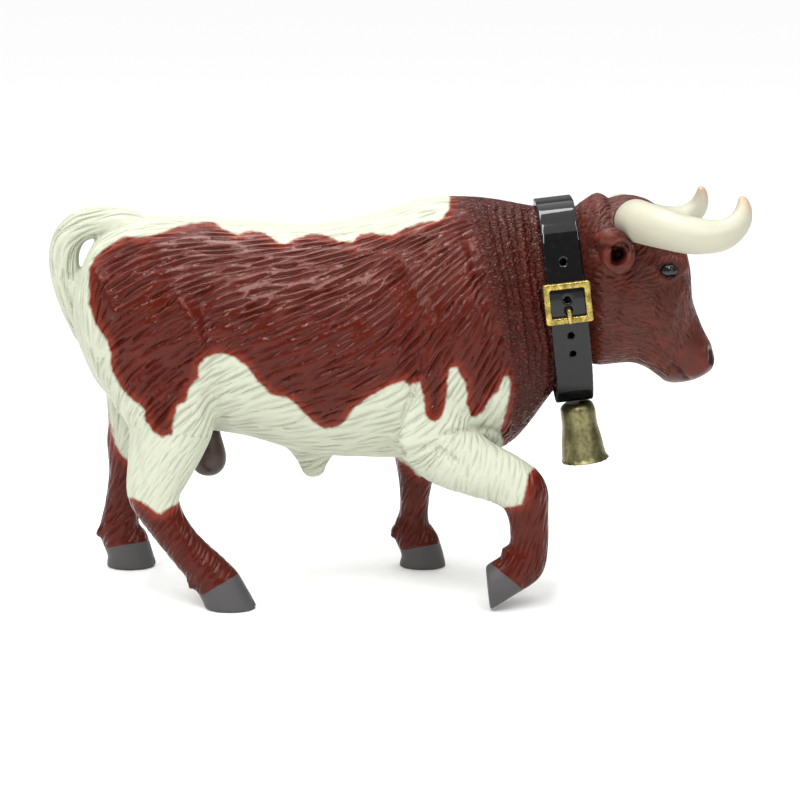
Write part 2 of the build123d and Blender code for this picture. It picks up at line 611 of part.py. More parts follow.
def make_pieces():
    """Every piece of the figurine by name, in the rump's frame, and the clapper's pivot."""
    torso = make_trunk()
    legs = {
        "right_hind_leg": Leg(torso, RIGHT_HIND_SHARES, RIGHT_HIND_SOLE_SHARES, FLAT_SOLE_WAY, RIGHT_SIDE),
        "left_hind_leg": Leg(torso, LEFT_HIND_SHARES, LEFT_HIND_SOLE_SHARES, FLAT_SOLE_WAY, LEFT_SIDE),
        "right_foreleg": Leg(torso, RIGHT_FORE_SHARES, RIGHT_FORE_SOLE_SHARES, RAISED_SOLE_WAY, RIGHT_SIDE),
        "left_foreleg": Leg(torso, LEFT_FORE_SHARES, LEFT_FORE_SOLE_SHARES, FLAT_SOLE_WAY, LEFT_SIDE),
    }
    for leg in legs.values():
        torso += leg.stump
    torso += make_sac(
        SHEATH_ALONG_SHARE, SHEATH_ROOT_HEIGHT_SHARE, SHEATH_DROP,
        SHEATH_LENGTH / 2, SHEATH_ACROSS_SHARE * SHEATH_LENGTH / 2, SHEATH_SHARES,
    )
    tail, tail_seat = make_tail()
    tail -= torso
    sac = make_sac(
        SCROTUM_ALONG_SHARE, SCROTUM_ROOT_HEIGHT_SHARE, SCROTUM_DROP,
        SCROTUM_WIDTH / 2, SCROTUM_WIDTH / 2, SCROTUM_SHARES,
    )
    sac -= torso
    sac_root = trunk_point(SCROTUM_ALONG_SHARE, 0, SCROTUM_ROOT_HEIGHT_SHARE, LEFT_SIDE)
    sac_seat = Plane(origin=sac_root + DOWN * SCROTUM_SEAT_SHARE * SCROTUM_DROP, z_dir=DOWN)
    for leg in legs.values():
        torso -= leg.socket
    torso -= socket(COLLAR_PLANE, NECK_PEG_DIAMETER, NECK_PEG_LENGTH)
    torso -= socket(tail_seat, TAIL_PEG_DIAMETER, TAIL_PEG_LENGTH)
    torso -= socket(sac_seat, SCROTUM_PEG_DIAMETER, SCROTUM_PEG_LENGTH)

    horn_stump, horn, horn_seat = make_horn()
    horn += peg(horn_seat, HORN_PEG_DIAMETER, HORN_PEG_LENGTH)
    horn_hole = socket(horn_seat, HORN_PEG_DIAMETER, HORN_PEG_LENGTH)
    ear = make_ear() - horn
    roll = head_roll(1)
    head = make_skull()
    for growth in (horn_stump, ear):
        head += roll * growth
        head += roll * mirror(growth, about=Plane.XZ)
    head = head - roll * horn_hole - roll * mirror(horn_hole, about=Plane.XZ)

    bell, clapper_pin, clapper_pivot = make_bell()
    pieces = {
        "torso": torso,
        "head": head,
        "right_horn": roll * horn,
        "left_horn": roll * mirror(horn, about=Plane.XZ),
        "tail": tail + peg(tail_seat, TAIL_PEG_DIAMETER, TAIL_PEG_LENGTH),
        "scrotum": sac + peg(sac_seat, SCROTUM_PEG_DIAMETER, SCROTUM_PEG_LENGTH),
        "collar_strap": make_strap(),
        "buckle_frame": make_buckle(),
        "buckle_prong": make_prong(),
        "bell_pin": Pos(BELL_PIVOT) * Rot(90, 0, 0) * Cylinder(BELL_PIN_DIAMETER / 2, BELL_PIN_LENGTH),
        "bell_shell": bell,
        "clapper_pin": clapper_pin,
        "bell_clapper": make_clapper(clapper_pivot),
    }
    pieces.update({name: leg.limb for name, leg in legs.items()})
    soles = {name: leg.sole for name, leg in legs.items()}
    return pieces, clapper_pivot, soles


def main():
    """Build every piece, centre the figure over the origin and write it out."""
    pieces, clapper_pivot, soles = make_pieces()
    box = Compound(list(pieces.values())).bounding_box()
    centre = Pos(-box.center().X, -box.center().Y, -box.min.Z)
    os.makedirs("parts", exist_ok=True)
    for name, piece in pieces.items():
        placed = centre * piece
        export_step(placed, os.path.join("parts", name + ".step"))
    print("size", box.size)
    for name, point in {"bell_pivot": BELL_PIVOT, "clapper_pivot": clapper_pivot, **soles}.items():
        print(name, (centre * Pos(point)).position)


main()
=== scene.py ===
"""Looks of a moulded bull figurine: carved and painted hide, horns, buckled collar and bell.

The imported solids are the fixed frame. The hide is grown from copies of them as one skin, carved and
painted, and parted again at the moulded joints, so that each piece stands for its own solid.
"""

import logging
import math
from dataclasses import dataclass, field
from enum import Enum
from typing import Any, Callable, Optional, Sequence, Union

import bmesh
import bpy
import numpy as np
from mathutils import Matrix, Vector
from mathutils.bvhtree import BVHTree
from mathutils.kdtree import KDTree


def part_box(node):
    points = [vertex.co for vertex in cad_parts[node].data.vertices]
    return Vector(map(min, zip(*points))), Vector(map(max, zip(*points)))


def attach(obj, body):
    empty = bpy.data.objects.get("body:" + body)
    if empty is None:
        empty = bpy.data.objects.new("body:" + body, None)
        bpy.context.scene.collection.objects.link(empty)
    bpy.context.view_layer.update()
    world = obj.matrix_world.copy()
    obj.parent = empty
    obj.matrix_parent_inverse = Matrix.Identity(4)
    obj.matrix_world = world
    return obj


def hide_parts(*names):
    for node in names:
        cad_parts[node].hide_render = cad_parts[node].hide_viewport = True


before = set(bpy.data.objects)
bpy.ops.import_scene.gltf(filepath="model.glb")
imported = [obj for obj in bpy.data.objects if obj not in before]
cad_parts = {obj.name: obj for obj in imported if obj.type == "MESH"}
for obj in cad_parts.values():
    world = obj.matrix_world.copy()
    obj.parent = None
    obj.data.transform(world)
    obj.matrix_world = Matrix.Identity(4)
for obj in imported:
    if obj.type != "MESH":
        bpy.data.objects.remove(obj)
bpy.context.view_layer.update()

LOG = logging.getLogger("bull_figurine")
MM = 0.001
TINY = 1e-9
Pixel = tuple[float, float]
Outline = tuple[Pixel, ...]
Triple = tuple[float, float, float]
Colour = tuple[float, float, float, float]


class Part(Enum):
    """The moulded pieces that share one skin, by the name of the solid each stands for."""

    TORSO = "torso"
    HEAD = "head"
    RIGHT_FORE = "right_foreleg"
    LEFT_FORE = "left_foreleg"
    RIGHT_HIND = "right_hind_leg"
    LEFT_HIND = "left_hind_leg"
    TAIL = "tail"

    @property
    def slot(self) -> str:
        """The name of the material slot for this piece."""
        return {Part.TORSO: "hide", Part.HEAD: "face", Part.TAIL: "tail"}.get(self, "leg")


PARTS = tuple(Part)
FAR_LEGS = (Part.LEFT_FORE, Part.LEFT_HIND)
BODY = (Part.TORSO, Part.RIGHT_HIND)


@dataclass(frozen=True)
class Viewpoint:
    """Where the photograph was taken from, in millimetres, and its frame in pixels."""

    elevation_deg: float = 12.0
    distance: float = 470.0
    target: Triple = (2.6, 0.0, 43.4)
    focal_pixels: float = 2091.5
    frame_pixels: float = 800.0
    sensor_width: float = 36.0

    @property
    def axes(self) -> np.ndarray:
        """The picture's rightward, upward and inward directions, one to a row."""
        turn = math.radians(self.elevation_deg)
        return np.array([
            (1.0, 0.0, 0.0),
            (0.0, math.sin(turn), math.cos(turn)),
            (0.0, math.cos(turn), -math.sin(turn)),
        ])

    @property
    def eye(self) -> np.ndarray:
        """The lens, in millimetres."""
        return np.array(self.target) - self.distance * self.axes[2]

    @property
    def pixels_per_mm(self) -> float:
        """How large a millimetre shows at the figure's middle plane."""
        return self.focal_pixels / self.distance

    def pixels(self, places: np.ndarray) -> np.ndarray:
        """Where places show in the photograph.

        Args:
            places: Points in millimetres, one to a row.

        Returns:
            Their pixels across and down, one to a row.
        """
        seen = (places - self.eye) @ self.axes.T
        half = self.frame_pixels / 2
        spread = self.focal_pixels / seen[:, 2]
        return np.stack([half + seen[:, 0] * spread, half - seen[:, 1] * spread], axis=1)

    def ray(self, pixel: Pixel) -> Vector:
        """Look through a pixel of the photograph.

        Args:
            pixel: The pixel, across and down.

        Returns:
            The direction from the lens.
        """
        half = self.frame_pixels / 2
        right, up, inward = self.axes
        way = right * (pixel[0] - half) + up * (half - pixel[1]) + inward * self.focal_pixels
        return Vector(way).normalized()

    def build(self) -> bpy.types.Object:
        """Make the camera and hand it to the scene."""
        data = bpy.data.cameras.new("studio_camera")
        data.sensor_width = self.sensor_width
        data.lens = self.focal_pixels / self.frame_pixels * self.sensor_width
        camera = bpy.data.objects.new("studio_camera", data)
        camera.location = Vector(self.eye) * MM
        camera.rotation_euler = (math.radians(90 - self.elevation_deg), 0.0, 0.0)
        bpy.context.scene.collection.objects.link(camera)
        bpy.context.scene.camera = camera
        return camera


VIEW = Viewpoint()


# Shader writing


@dataclass(frozen=True)
class Signal:
    """A shader value: an output socket that Python's operators turn into Math nodes."""

    box: "Paintbox"
    socket: Optional[bpy.types.NodeSocket]

    def combine(self, operation: str, *values: Any) -> "Signal":
        """Add a Math node on values, of which this signal is usually one."""
        return self.box.node("Math", {"operation": operation}, dict(enumerate(values)))

    def __add__(self, other: Any) -> "Signal":
        """Sum."""
        return self.combine("ADD", self, other)

    __radd__ = __add__

    def __sub__(self, other: Any) -> "Signal":
        """Difference."""
        return self.combine("SUBTRACT", self, other)

    def __rsub__(self, other: Any) -> "Signal":
        """Difference from a number."""
        return self.combine("SUBTRACT", other, self)

    def __mul__(self, other: Any) -> "Signal":
        """Product."""
        return self.combine("MULTIPLY", self, other)

    __rmul__ = __mul__

    def ramp(self, low: float, high: float, to_low: float = 0.0, to_high: float = 1.0) -> "Signal":
        """A smooth step from low to high.

        Args:
            low: Where the step starts.
            high: Where it ends.
            to_low: Value before the step.
            to_high: Value after it.

        Returns:
            The stepped signal.
        """
        return self.box.node(
            "MapRange",
            {"interpolation_type": "SMOOTHSTEP"},
            {"Value": self, "From Min": low, "From Max": high, "To Min": to_low, "To Max": to_high},
        )


class Paintbox:
    """A node tree of a material or of the sky, with a single method that adds nodes."""

    def __init__(self, owner: Union[bpy.types.Material, bpy.types.World]) -> None:
        """Empty the owner's tree.

        Args:
            owner: The material or sky to write.
        """
        owner.use_nodes = True
        self.owner = owner
        self.tree = owner.node_tree
        self.tree.nodes.clear()

    @classmethod
    def of_material(cls, name: str) -> "Paintbox":
        """Start a new material of that name."""
        return cls(bpy.data.materials.new(name))

    def node(
        self,
        kind: str,
        settings: Optional[dict[str, Any]] = None,
        inputs: Optional[dict[Union[str, int], Any]] = None,
        output: Union[str, int] = 0,
    ) -> Signal:
        """Add a node.

        Args:
            kind: The node's type without its ShaderNode prefix.
            settings: Properties, set before the sockets.
            inputs: Values or signals by socket.
            output: The socket to hand back.

        Returns:
            The chosen output as a signal, which is empty for a node that has none.
        """
        node = self.tree.nodes.new("ShaderNode" + kind)
        for name, value in (settings or {}).items():
            setattr(node, name, value)
        for name, value in (inputs or {}).items():
            if isinstance(value, Signal):
                self.tree.links.new(value.socket, node.inputs[name])
            else:
                node.inputs[name].default_value = value
        return Signal(self, node.outputs[output] if len(node.outputs) else None)

    @property
    def place(self) -> Signal:
        """The piece's own coordinates."""
        return self.node("TexCoord", output="Object")

    def noise(self, grain_mm: float, detail: float = 2.0, stretch: Triple = (1, 1, 1)) -> Signal:
        """Noise on the piece's own coordinates.

        Args:
            grain_mm: Size of its blobs.
            detail: Octaves of finer grain.
            stretch: How much finer it is along each axis.

        Returns:
            The noise, about 0.5.
        """
        place = self.node("Mapping", None, {"Vector": self.place, "Scale": stretch})
        inputs = {"Vector": place, "Scale": 1 / (grain_mm * MM), "Detail": detail}
        return self.node("TexNoise", None, inputs)

    def cells(self, grain_mm: float, stretch: Triple) -> Signal:
        """Distance from the nearest crack of a cracked surface.

        Args:
            grain_mm: Size of the cells between the cracks.
            stretch: How much finer they are along each axis.

        Returns:
            The distance, as a share of a cell.
        """
        place = self.node("Mapping", None, {"Vector": self.place, "Scale": stretch})
        inputs = {"Vector": place, "Scale": 1 / (grain_mm * MM)}
        return self.node("TexVoronoi", {"feature": "DISTANCE_TO_EDGE"}, inputs, output="Distance")

    def attribute(self, name: str) -> Signal:
        """A number painted on the piece's vertices."""
        return self.node("Attribute", {"attribute_name": name}, output="Fac")

    def blend(self, share: Signal, low: Any, high: Any) -> Signal:
        """Mix two colours by a share."""
        settings = {"data_type": "RGBA", "clamp_factor": True}
        return self.node("Mix", settings, {0: share, 6: low, 7: high}, output=2)

    def bump(self, height: Signal, depth_mm: float, **inputs: Any) -> Signal:
        """Turn a height into shading normals."""
        return self.node("Bump", None, {"Height": height, "Distance": depth_mm * MM, **inputs})

    def finish(self, **inputs: Any) -> bpy.types.Material:
        """Close the tree with one surface.

        Args:
            inputs: Its values and signals, spaces in the sockets' names written as underscores.

        Returns:
            The finished material.
        """
        sockets = {name.replace("_", " "): value for name, value in inputs.items()}
        surface = self.node("BsdfPrincipled", None, sockets)
        self.node("OutputMaterial", None, {"Surface": surface})
        return self.owner


@dataclass(frozen=True)
class HidePaint:
    """Gloss red-brown coat over cream white, airbrushed at its edges, with dark grey hooves, and painted
    shade in its grooves, folds, cracks and hollows.
    """

    brown: Colour = (0.060, 0.0056, 0.0020, 1)
    brown_edge: Colour = (0.15, 0.016, 0.006, 1)
    # Painted shade: the darker brown in the carved grooves, the folds and the neck's cracks.
    brown_groove_shade: Colour = (0.016, 0.002, 0.001, 1)
    face: Colour = (0.060, 0.0145, 0.0098, 1)
    white: Colour = (0.44, 0.465, 0.365, 1)
    # Painted shade: the darker grey-green in the grooves and folds of the white.
    white_groove_shade: Colour = (0.32, 0.34, 0.25, 1)
    hoof: Colour = (0.064, 0.064, 0.066, 1)
    # Black of the painted shade in hollows, along the upper lids and under the strap, and of the eyes' own
    # corners.
    dark: Colour = (0.006, 0.002, 0.002, 1)
    gleam: Colour = (1.0, 0.74, 0.68, 1)

    def build(self) -> bpy.types.Material:
        """Make the material."""
        box = Paintbox.of_material("hide_paint")
        face = box.attribute("face")
        wander = box.noise(1.6, 3.0) - 0.5
        comb_sin = box.attribute("comb_sin")
        turn = comb_sin.combine("ARCTAN2", comb_sin, box.attribute("comb_cos"))
        between = turn.combine("ABSOLUTE", turn) * (1 / math.pi) + wander * 0.12
        # The folds' painted shade, broken up by noise below.
        fold = box.attribute("fold")
        depth = box.attribute("comb_depth")
        combed = between.ramp(0.0, 0.5, 1.0, 0.0) * depth
        knobs = box.cells(1.4, (1, 1, 1.9)).ramp(0.02, 0.24, 0.9, 0.0) * box.attribute("neck")
        # Painted shade: the grooves, the folds and the neck's cracks together give how much the colour
        # darkens.
        groove = combed.combine("MAXIMUM", combed, fold * box.noise(1.4, 2.0).ramp(0.3, 0.6))
        groove = groove.combine("MAXIMUM", groove, knobs)
        edge = box.attribute("coat") + wander * 0.9
        brown_share = edge.ramp(-0.42, 0.42)
        mottle = box.noise(5.0, 3.0)
        body = box.blend(edge.ramp(0.1, 2.4), self.brown_edge, self.brown)
        body = box.blend((mottle - 0.54) * 1.4, body, self.brown_edge)
        # Painted shade in the grooves of body, face and white.
        body = box.blend(groove * 0.8, body, self.brown_groove_shade)
        head = box.blend((mottle - 0.45) * 1.6, self.face, self.brown_edge)
        head = box.blend(groove * 0.75, head, self.brown_groove_shade)
        brown = box.blend(face, body, head)
        white = box.blend(groove * 0.45, self.white, self.white_groove_shade)
        coat = box.blend(brown_share, white, brown)
        hoof_share = (box.attribute("hoof") + wander * 0.3).ramp(-0.15, 0.15)
        horny = box.blend(hoof_share, coat, self.hoof)
        # Painted shade in hollows and under the strap, with the eyes' black corners.
        colour = box.blend(box.attribute("shade"), horny, self.dark)
        sheen = brown_share.ramp(0.0, 1.0, 0.42, 0.16) + face * 0.2 + (box.noise(2.5) - 0.5) * 0.1
        rough = sheen * (1 - hoof_share) + hoof_share * 0.46
        valley = between.ramp(0.0, 0.8, 1.0, 0.0) * depth
        relief = box.bump(valley.combine("MAXIMUM", valley, knobs) * -1.0, 0.32)
        return box.finish(
            Base_Color=colour, Roughness=rough, Specular_IOR_Level=0.26, Specular_Tint=self.gleam,
            Normal=box.bump(box.noise(0.4, 3.0), 0.03, Normal=relief),
        )


@dataclass(frozen=True)
class HornPaint:
    """Ivory with a pinkish brown tip, fine speckle and lengthwise grain."""

    ivory: Colour = (0.385, 0.37, 0.285, 1)
    shade: Colour = (0.30, 0.28, 0.205, 1)
    tip: Colour = (0.38, 0.27, 0.18, 1)
    speck: Colour = (0.16, 0.12, 0.07, 1)

    def build(self) -> bpy.types.Material:
        """Make the material."""
        box = Paintbox.of_material("horn_paint")
        tip = box.attribute("tip") + (box.noise(2.0) - 0.5) * 0.2
        base = box.blend(box.noise(6.0, 2.0).ramp(0.45, 0.9) * 0.35, self.ivory, self.shade)
        tipped = box.blend(tip.ramp(0.62, 1.05), base, self.tip)
        specked = box.blend(box.noise(0.45, 1.0).ramp(0.74, 0.80) * 0.4, tipped, self.speck)
        grain = box.noise(0.8, 3.0)
        rough = grain.ramp(0.3, 0.8, 0.36, 0.5)
        return box.finish(Base_Color=specked, Roughness=rough, Normal=box.bump(grain, 0.05))


@dataclass(frozen=True)
class StrapPaint:
    """Thick gloss black paint with faint brush waves."""

    black: Colour = (0.002, 0.002, 0.0025, 1)
    worn: Colour = (0.006, 0.006, 0.007, 1)
    matt_below: float = 45.5
    gloss_above: float = 49.5

    def build(self) -> bpy.types.Material:
        """Make the material."""
        box = Paintbox.of_material("strap_paint")
        wave = box.noise(3.0, 2.0)
        colour = box.blend(box.noise(1.2, 3.0).ramp(0.5, 0.8), self.black, self.worn)
        rough = box.noise(2.2, 2.0).ramp(0.3, 0.8, 0.3, 0.5)
        height = box.node("SeparateXYZ", None, {"Vector": box.place}, output="Z")
        gloss = height.ramp(self.matt_below * MM, self.gloss_above * MM, 0.05, 0.75)
        return box.finish(
            Base_Color=colour, Roughness=rough, Specular_IOR_Level=0.0, Coat_Weight=gloss,
            Coat_Roughness=0.06, Normal=box.bump(wave, 0.1),
        )


@dataclass(frozen=True)
class MetalPaint:
    """Metallic paint: a bright colour, a darker colour in its streaks, and how rough it is."""

    name: str
    bright: Colour
    streak_and_fold_shade: Colour
    rough: tuple[float, float]
    grain_mm: float
    stretch: Triple = (1, 1, 1)
    metallic: float = 0.85
    depth_mm: float = 0.05

    def build(self) -> bpy.types.Material:
        """Make the material."""
        box = Paintbox.of_material(self.name)
        streak = box.noise(self.grain_mm, 4.0, self.stretch)
        fleck = box.noise(self.grain_mm / 5, 2.0)
        colour = box.blend((streak * 0.7 + fleck * 0.3).ramp(0.38, 0.66), self.streak_and_fold_shade, self.bright)
        rough = fleck.ramp(0.3, 0.7, *self.rough)
        normal = box.bump(fleck * 0.6 + streak, self.depth_mm)
        return box.finish(Base_Color=colour, Metallic=self.metallic, Roughness=rough, Normal=normal)


@dataclass(frozen=True)
class SatinPaint:
    """One satin colour with a mottle and a fine grain."""

    name: str
    colour: Colour
    mottle: Colour
    rough: tuple[float, float]

    def build(self) -> bpy.types.Material:
        """Make the material."""
        box = Paintbox.of_material(self.name)
        cloud = box.noise(2.5, 3.0)
        colour = box.blend(cloud.ramp(0.4, 0.7), self.colour, self.mottle)
        rough = cloud.ramp(0.3, 0.7, *self.rough)
        return box.finish(Base_Color=colour, Roughness=rough, Normal=box.bump(box.noise(0.5, 2.0), 0.04))


GOLD = MetalPaint(
    "gold_paint", (0.50, 0.39, 0.10, 1), (0.17, 0.125, 0.03, 1), (0.2, 0.36), 1.6, depth_mm=0.02
)
BRASS = MetalPaint(
    "bell_brass", (0.28, 0.255, 0.12, 1), (0.10, 0.09, 0.042, 1), (0.30, 0.40), 4.0, (1, 1, 0.16), 0.85, 0.006
)
STEEL = MetalPaint("pin_steel", (0.55, 0.55, 0.56, 1), (0.30, 0.30, 0.31, 1), (0.2, 0.35), 0.8)
EYE = SatinPaint("eye_gloss", (0.004, 0.004, 0.004, 1), (0.008, 0.006, 0.005, 1), (0.05, 0.09))
SAC = SatinPaint("scrotum_paint", (0.030, 0.014, 0.010, 1), (0.055, 0.024, 0.016, 1), (0.34, 0.5))
PALE = SatinPaint("studio_floor", (0.90, 0.90, 0.90, 1), (0.92, 0.92, 0.92, 1), (0.8, 0.9))


# Mesh helpers


def read_vectors(items: Any, name: str) -> np.ndarray:
    """Read a vector property of many mesh elements.

    Args:
        items: The elements.
        name: The property.

    Returns:
        Their vectors, one to a row.
    """
    flat = np.empty(len(items) * 3, np.float32)
    items.foreach_get(name, flat)
    return flat.reshape(-1, 3).astype(float)


def write_numbers(mesh: bpy.types.Mesh, name: str, values: np.ndarray) -> None:
    """Paint a number on each of a mesh's vertices."""
    layer = mesh.attributes.get(name) or mesh.attributes.new(name, "FLOAT", "POINT")
    layer.data.foreach_set("value", values.astype(np.float32))


def new_object(name: str, mesh: bpy.types.Mesh) -> bpy.types.Object:
    """Put a mesh in the scene at the origin.

    Args:
        name: The piece's name.
        mesh: Its mesh.

    Returns:
        The new object.
    """
    thing = bpy.data.objects.new(name, mesh)
    mesh.name = name
    bpy.context.scene.collection.objects.link(thing)
    return thing


def solid_copy(names: Sequence[str]) -> bpy.types.Mesh:
    """Copy solids of the frame into one mesh, their loose triangles merged.

    Args:
        names: The solids' names.

    Returns:
        A new mesh.
    """
    form = bmesh.new()
    for name in names:
        form.from_mesh(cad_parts[name].data)
    bmesh.ops.remove_doubles(form, verts=form.verts, dist=MM / 1000)
    mesh = bpy.data.meshes.new("_".join(names)[:40])
    form.to_mesh(mesh)
    form.free()
    mesh.materials.clear()
    return mesh


def with_modifier(mesh: bpy.types.Mesh, kind: str, **settings: Any) -> bpy.types.Mesh:
    """Run one modifier on a mesh.

    Args:
        mesh: The mesh, which is used up.
        kind: The modifier's type.
        settings: Its properties.

    Returns:
        The changed mesh.
    """
    carrier = new_object("workpiece", mesh)
    modifier = carrier.modifiers.new(kind.lower(), kind)
    for name, value in settings.items():
        setattr(modifier, name, value)
    graph = bpy.context.evaluated_depsgraph_get()
    done = bpy.data.meshes.new_from_object(carrier.evaluated_get(graph), depsgraph=graph)
    bpy.data.objects.remove(carrier)
    bpy.data.meshes.remove(mesh)
    return done


def remesh(mesh: bpy.types.Mesh, grain_mm: float) -> bpy.types.Mesh:
    """Cover a mesh with one even skin of small quads."""
    return with_modifier(mesh, "REMESH", mode="VOXEL", voxel_size=grain_mm * MM, use_smooth_shade=True)


def close_holes(mesh: bpy.types.Mesh) -> None:
    """Cap a mesh's open edges with flat triangles.

    Args:
        mesh: The mesh, which is changed.
    """
    form = bmesh.new()
    form.from_mesh(mesh)
    bmesh.ops.delete(form, geom=[v for v in form.verts if not v.link_faces], context="VERTS")
    rim = [edge for edge in form.edges if edge.is_boundary]
    caps = bmesh.ops.holes_fill(form, edges=rim, sides=0)["faces"]
    for face in caps:
        face.smooth = False
        for edge in face.edges:
            edge.smooth = False
    bmesh.ops.triangulate(form, faces=caps)
    form.to_mesh(mesh)
    form.free()


def dress(
    piece: bpy.types.Object, paints: Sequence[bpy.types.Material], slot: str, body: str, *nodes: str
) -> None:
    """Give a piece its paint, the body it rides on and the solids it stands for.

    Args:
        piece: The finished object.
        paints: Its materials, in slot order.
        slot: The name of its material slot; not used.
        body: The body that it moves with.
        nodes: The solids that it replaces.
    """
    for paint in paints:
        piece.data.materials.append(paint)
    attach(piece, body)
    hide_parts(*nodes)
    LOG.info("%s: %d faces, rides %s", piece.name, len(piece.data.polygons), body)


def line_offset(points: np.ndarray, line: Sequence[Pixel]) -> np.ndarray:
    """Distance from points to a line of straight runs, negative on the right of its run in the picture.

    Args:
        points: Pixels, one to a row.
        line: The line's corners.

    Returns:
        One signed distance to a point, in pixels.
    """
    nearest = np.full(len(points), np.inf)
    side = np.ones(len(points))
    stops = np.array(line, float)
    for start, end in zip(stops[:-1], stops[1:]):
        run = end - start
        offset = points - start
        share = np.clip(offset @ run / (run @ run), 0, 1)
        away = np.linalg.norm(offset - share[:, None] * run, axis=1)
        closer = away < nearest
        nearest[closer] = away[closer]
        side[closer] = np.where(offset[closer, 0] * run[1] > offset[closer, 1] * run[0], 1, -1)
    return nearest * side


def inside(points: np.ndarray, outline: Outline) -> np.ndarray:
    """Find which points lie inside a closed outline.

    Args:
        points: Pixels, one to a row.
        outline: The outline's corners.

    Returns:
        True for each point inside.
    """
    found = np.zeros(len(points), bool)
    stops = np.array(outline, float)
    for (x0, y0), (x1, y1) in zip(stops, np.roll(stops, -1, axis=0)):
        if y0 != y1:
            straddles = (points[:, 1] > y0) != (points[:, 1] > y1)
            crossing = x0 + (points[:, 1] - y0) * (x1 - x0) / (y1 - y0)
            found ^= straddles & (points[:, 0] < crossing)
    return found


def depth_inside(points: np.ndarray, outline: Outline) -> np.ndarray:
    """Distance of points from a closed outline, positive inside it."""
    away = np.abs(line_offset(points, outline + outline[:1]))
    return np.where(inside(points, outline), away, -away)


# The hide's forms, in pixels of the photograph and millimetres of depth


@dataclass(frozen=True)
class Crease:
    """A fold in the hide along a line of pixels, or a ridge where its depth is negative.

    A lip is how far the hide stands up on the left of the line's run, as the picture shows it, fading out
    over the lip's width. The painted shade is how dark the fold is painted, where shade falls in it.
    """

    line: Outline
    depth: float
    half_width: float
    parts: tuple[Part, ...] = BODY
    lip: float = 0.0
    lip_width: float = 5.0
    # How dark the fold is painted: painted shade.
    streak_and_fold_shade: float = 0.0


@dataclass(frozen=True)
class Swell:
    """A soft bulge of the hide about a pixel, or a hollow where its height is negative."""

    middle: Pixel
    radius: float
    height: float
    parts: tuple[Part, ...] = BODY


# Folds and ridges of the hide, some with painted shade in the fold.
CREASES = (
    Crease(((417, 378), (406, 412), (401, 437), (408, 451)), 0.6, 0.7, (Part.TORSO,), 2.0, 4.5),
    Crease(((403, 452), (420, 447), (435, 446), (456, 462)), 0.7, 0.8, (Part.TORSO, Part.RIGHT_FORE)),
    Crease(
        ((518, 448), (494, 433), (475, 429), (448, 433)), 0.6, 0.9, (Part.TORSO, Part.RIGHT_FORE), 0.9, 4.0
    ),
    Crease(((405, 262), (412, 285), (422, 310), (432, 332)), -0.7, 1.8),
    Crease(((468, 236), (483, 300), (506, 356), (511, 384)), 0.5, 1.2),
    Crease(((94, 268), (105, 290), (117, 312)), -0.7, 1.8),
    Crease(((176, 292), (190, 318), (200, 342)), -0.7, 1.8),
    Crease(((203, 300), (209, 325), (215, 356), (213, 400), (217, 428)), 0.9, 2.2),
    Crease(((134, 430), (136, 455), (140, 480)), 0.6, 1.0),
    Crease(((628, 270), (621, 295), (616, 318)), 0.6, 0.8, (Part.HEAD,), streak_and_fold_shade=0.4),
    Crease(((690, 380), (684, 377), (679, 370), (673, 367)), 0.9, 0.4, (Part.HEAD,), streak_and_fold_shade=0.8),
    Crease(((652, 266), (660, 261), (670, 259), (680, 263), (684, 270)), -0.5, 0.8, (Part.HEAD,)),
    Crease(((650, 262), (660, 254), (672, 252), (684, 257)), 0.35, 0.4, (Part.HEAD,), streak_and_fold_shade=0.3),
    Crease(((654, 257), (667, 248), (682, 251)), 0.3, 0.4, (Part.HEAD,), streak_and_fold_shade=0.2),
    Crease(((672, 281), (676, 292), (674, 305), (668, 330)), -0.7, 1.2, (Part.HEAD,)),
    Crease(((654, 300), (656, 315), (654, 330)), -0.5, 1.0, (Part.HEAD,)),
    Crease(((664, 286), (661, 305), (655, 325)), 0.35, 1.0, (Part.HEAD,)),
    Crease(((597, 249), (606, 246), (614, 245), (622, 243)), 1.2, 0.5, (Part.HEAD,), streak_and_fold_shade=0.6),
    Crease(((614, 261), (619, 254), (625, 247)), 0.8, 0.9, (Part.HEAD,)),
    Crease(((711, 350), (712, 356), (711, 362)), 1.0, 0.8, (Part.HEAD,)),
    Crease(((705, 349), (706, 357), (709, 365)), -0.4, 0.6, (Part.HEAD,)),
    Crease(((669, 366), (673, 362), (678, 364)), 0.4, 0.4, (Part.HEAD,), streak_and_fold_shade=0.4),
)
SWELLS = (
    Swell((152, 252), 5.0, 0.7),
    Swell((143, 264), 3.0, -0.5),
    Swell((230, 262), 7.0, -0.5),
    Swell((180, 340), 9.0, 0.7),
    Swell((455, 330), 11.0, 0.7),
    Swell((410, 436), 4.0, 0.5),
    Swell((390, 300), 10.0, -0.5),
    Swell((640, 310), 5.0, 0.6, (Part.HEAD,)),
    Swell((703, 350), 3.0, 0.4, (Part.HEAD,)),
    Swell((605, 240), 2.2, 1.7, (Part.HEAD,)),
    Swell((617, 236), 2.2, 1.6, (Part.HEAD,)),
    Swell((606, 263), 2.2, 0.6, (Part.HEAD,)),
    Swell((630, 250), 1.6, -0.9, (Part.HEAD,)),
    Swell((599, 252), 1.4, -0.7, (Part.HEAD,)),
    Swell((678, 374), 1.6, 0.3, (Part.HEAD,)),
)

# Neck wrinkles fan out between these two lines
WRINKLE_FIRST: Outline = ((490, 206), (500, 250), (508, 300), (514, 350), (521, 395), (514, 432))
WRINKLE_LAST: Outline = ((531, 212), (538, 260), (544, 310), (550, 350), (552, 385), (540, 412))
WRINKLES = 6
WRINKLE_DEPTH = 0.5
WRINKLE_HALF_WIDTH = 0.6
WRINKLE_STRAY = 2.6
# How dark each wrinkle is painted: painted shade.
WRINKLE_SHADE = 0.8
WRINKLE_SEED = 3
CRACK_TURN_DEG = 6.0

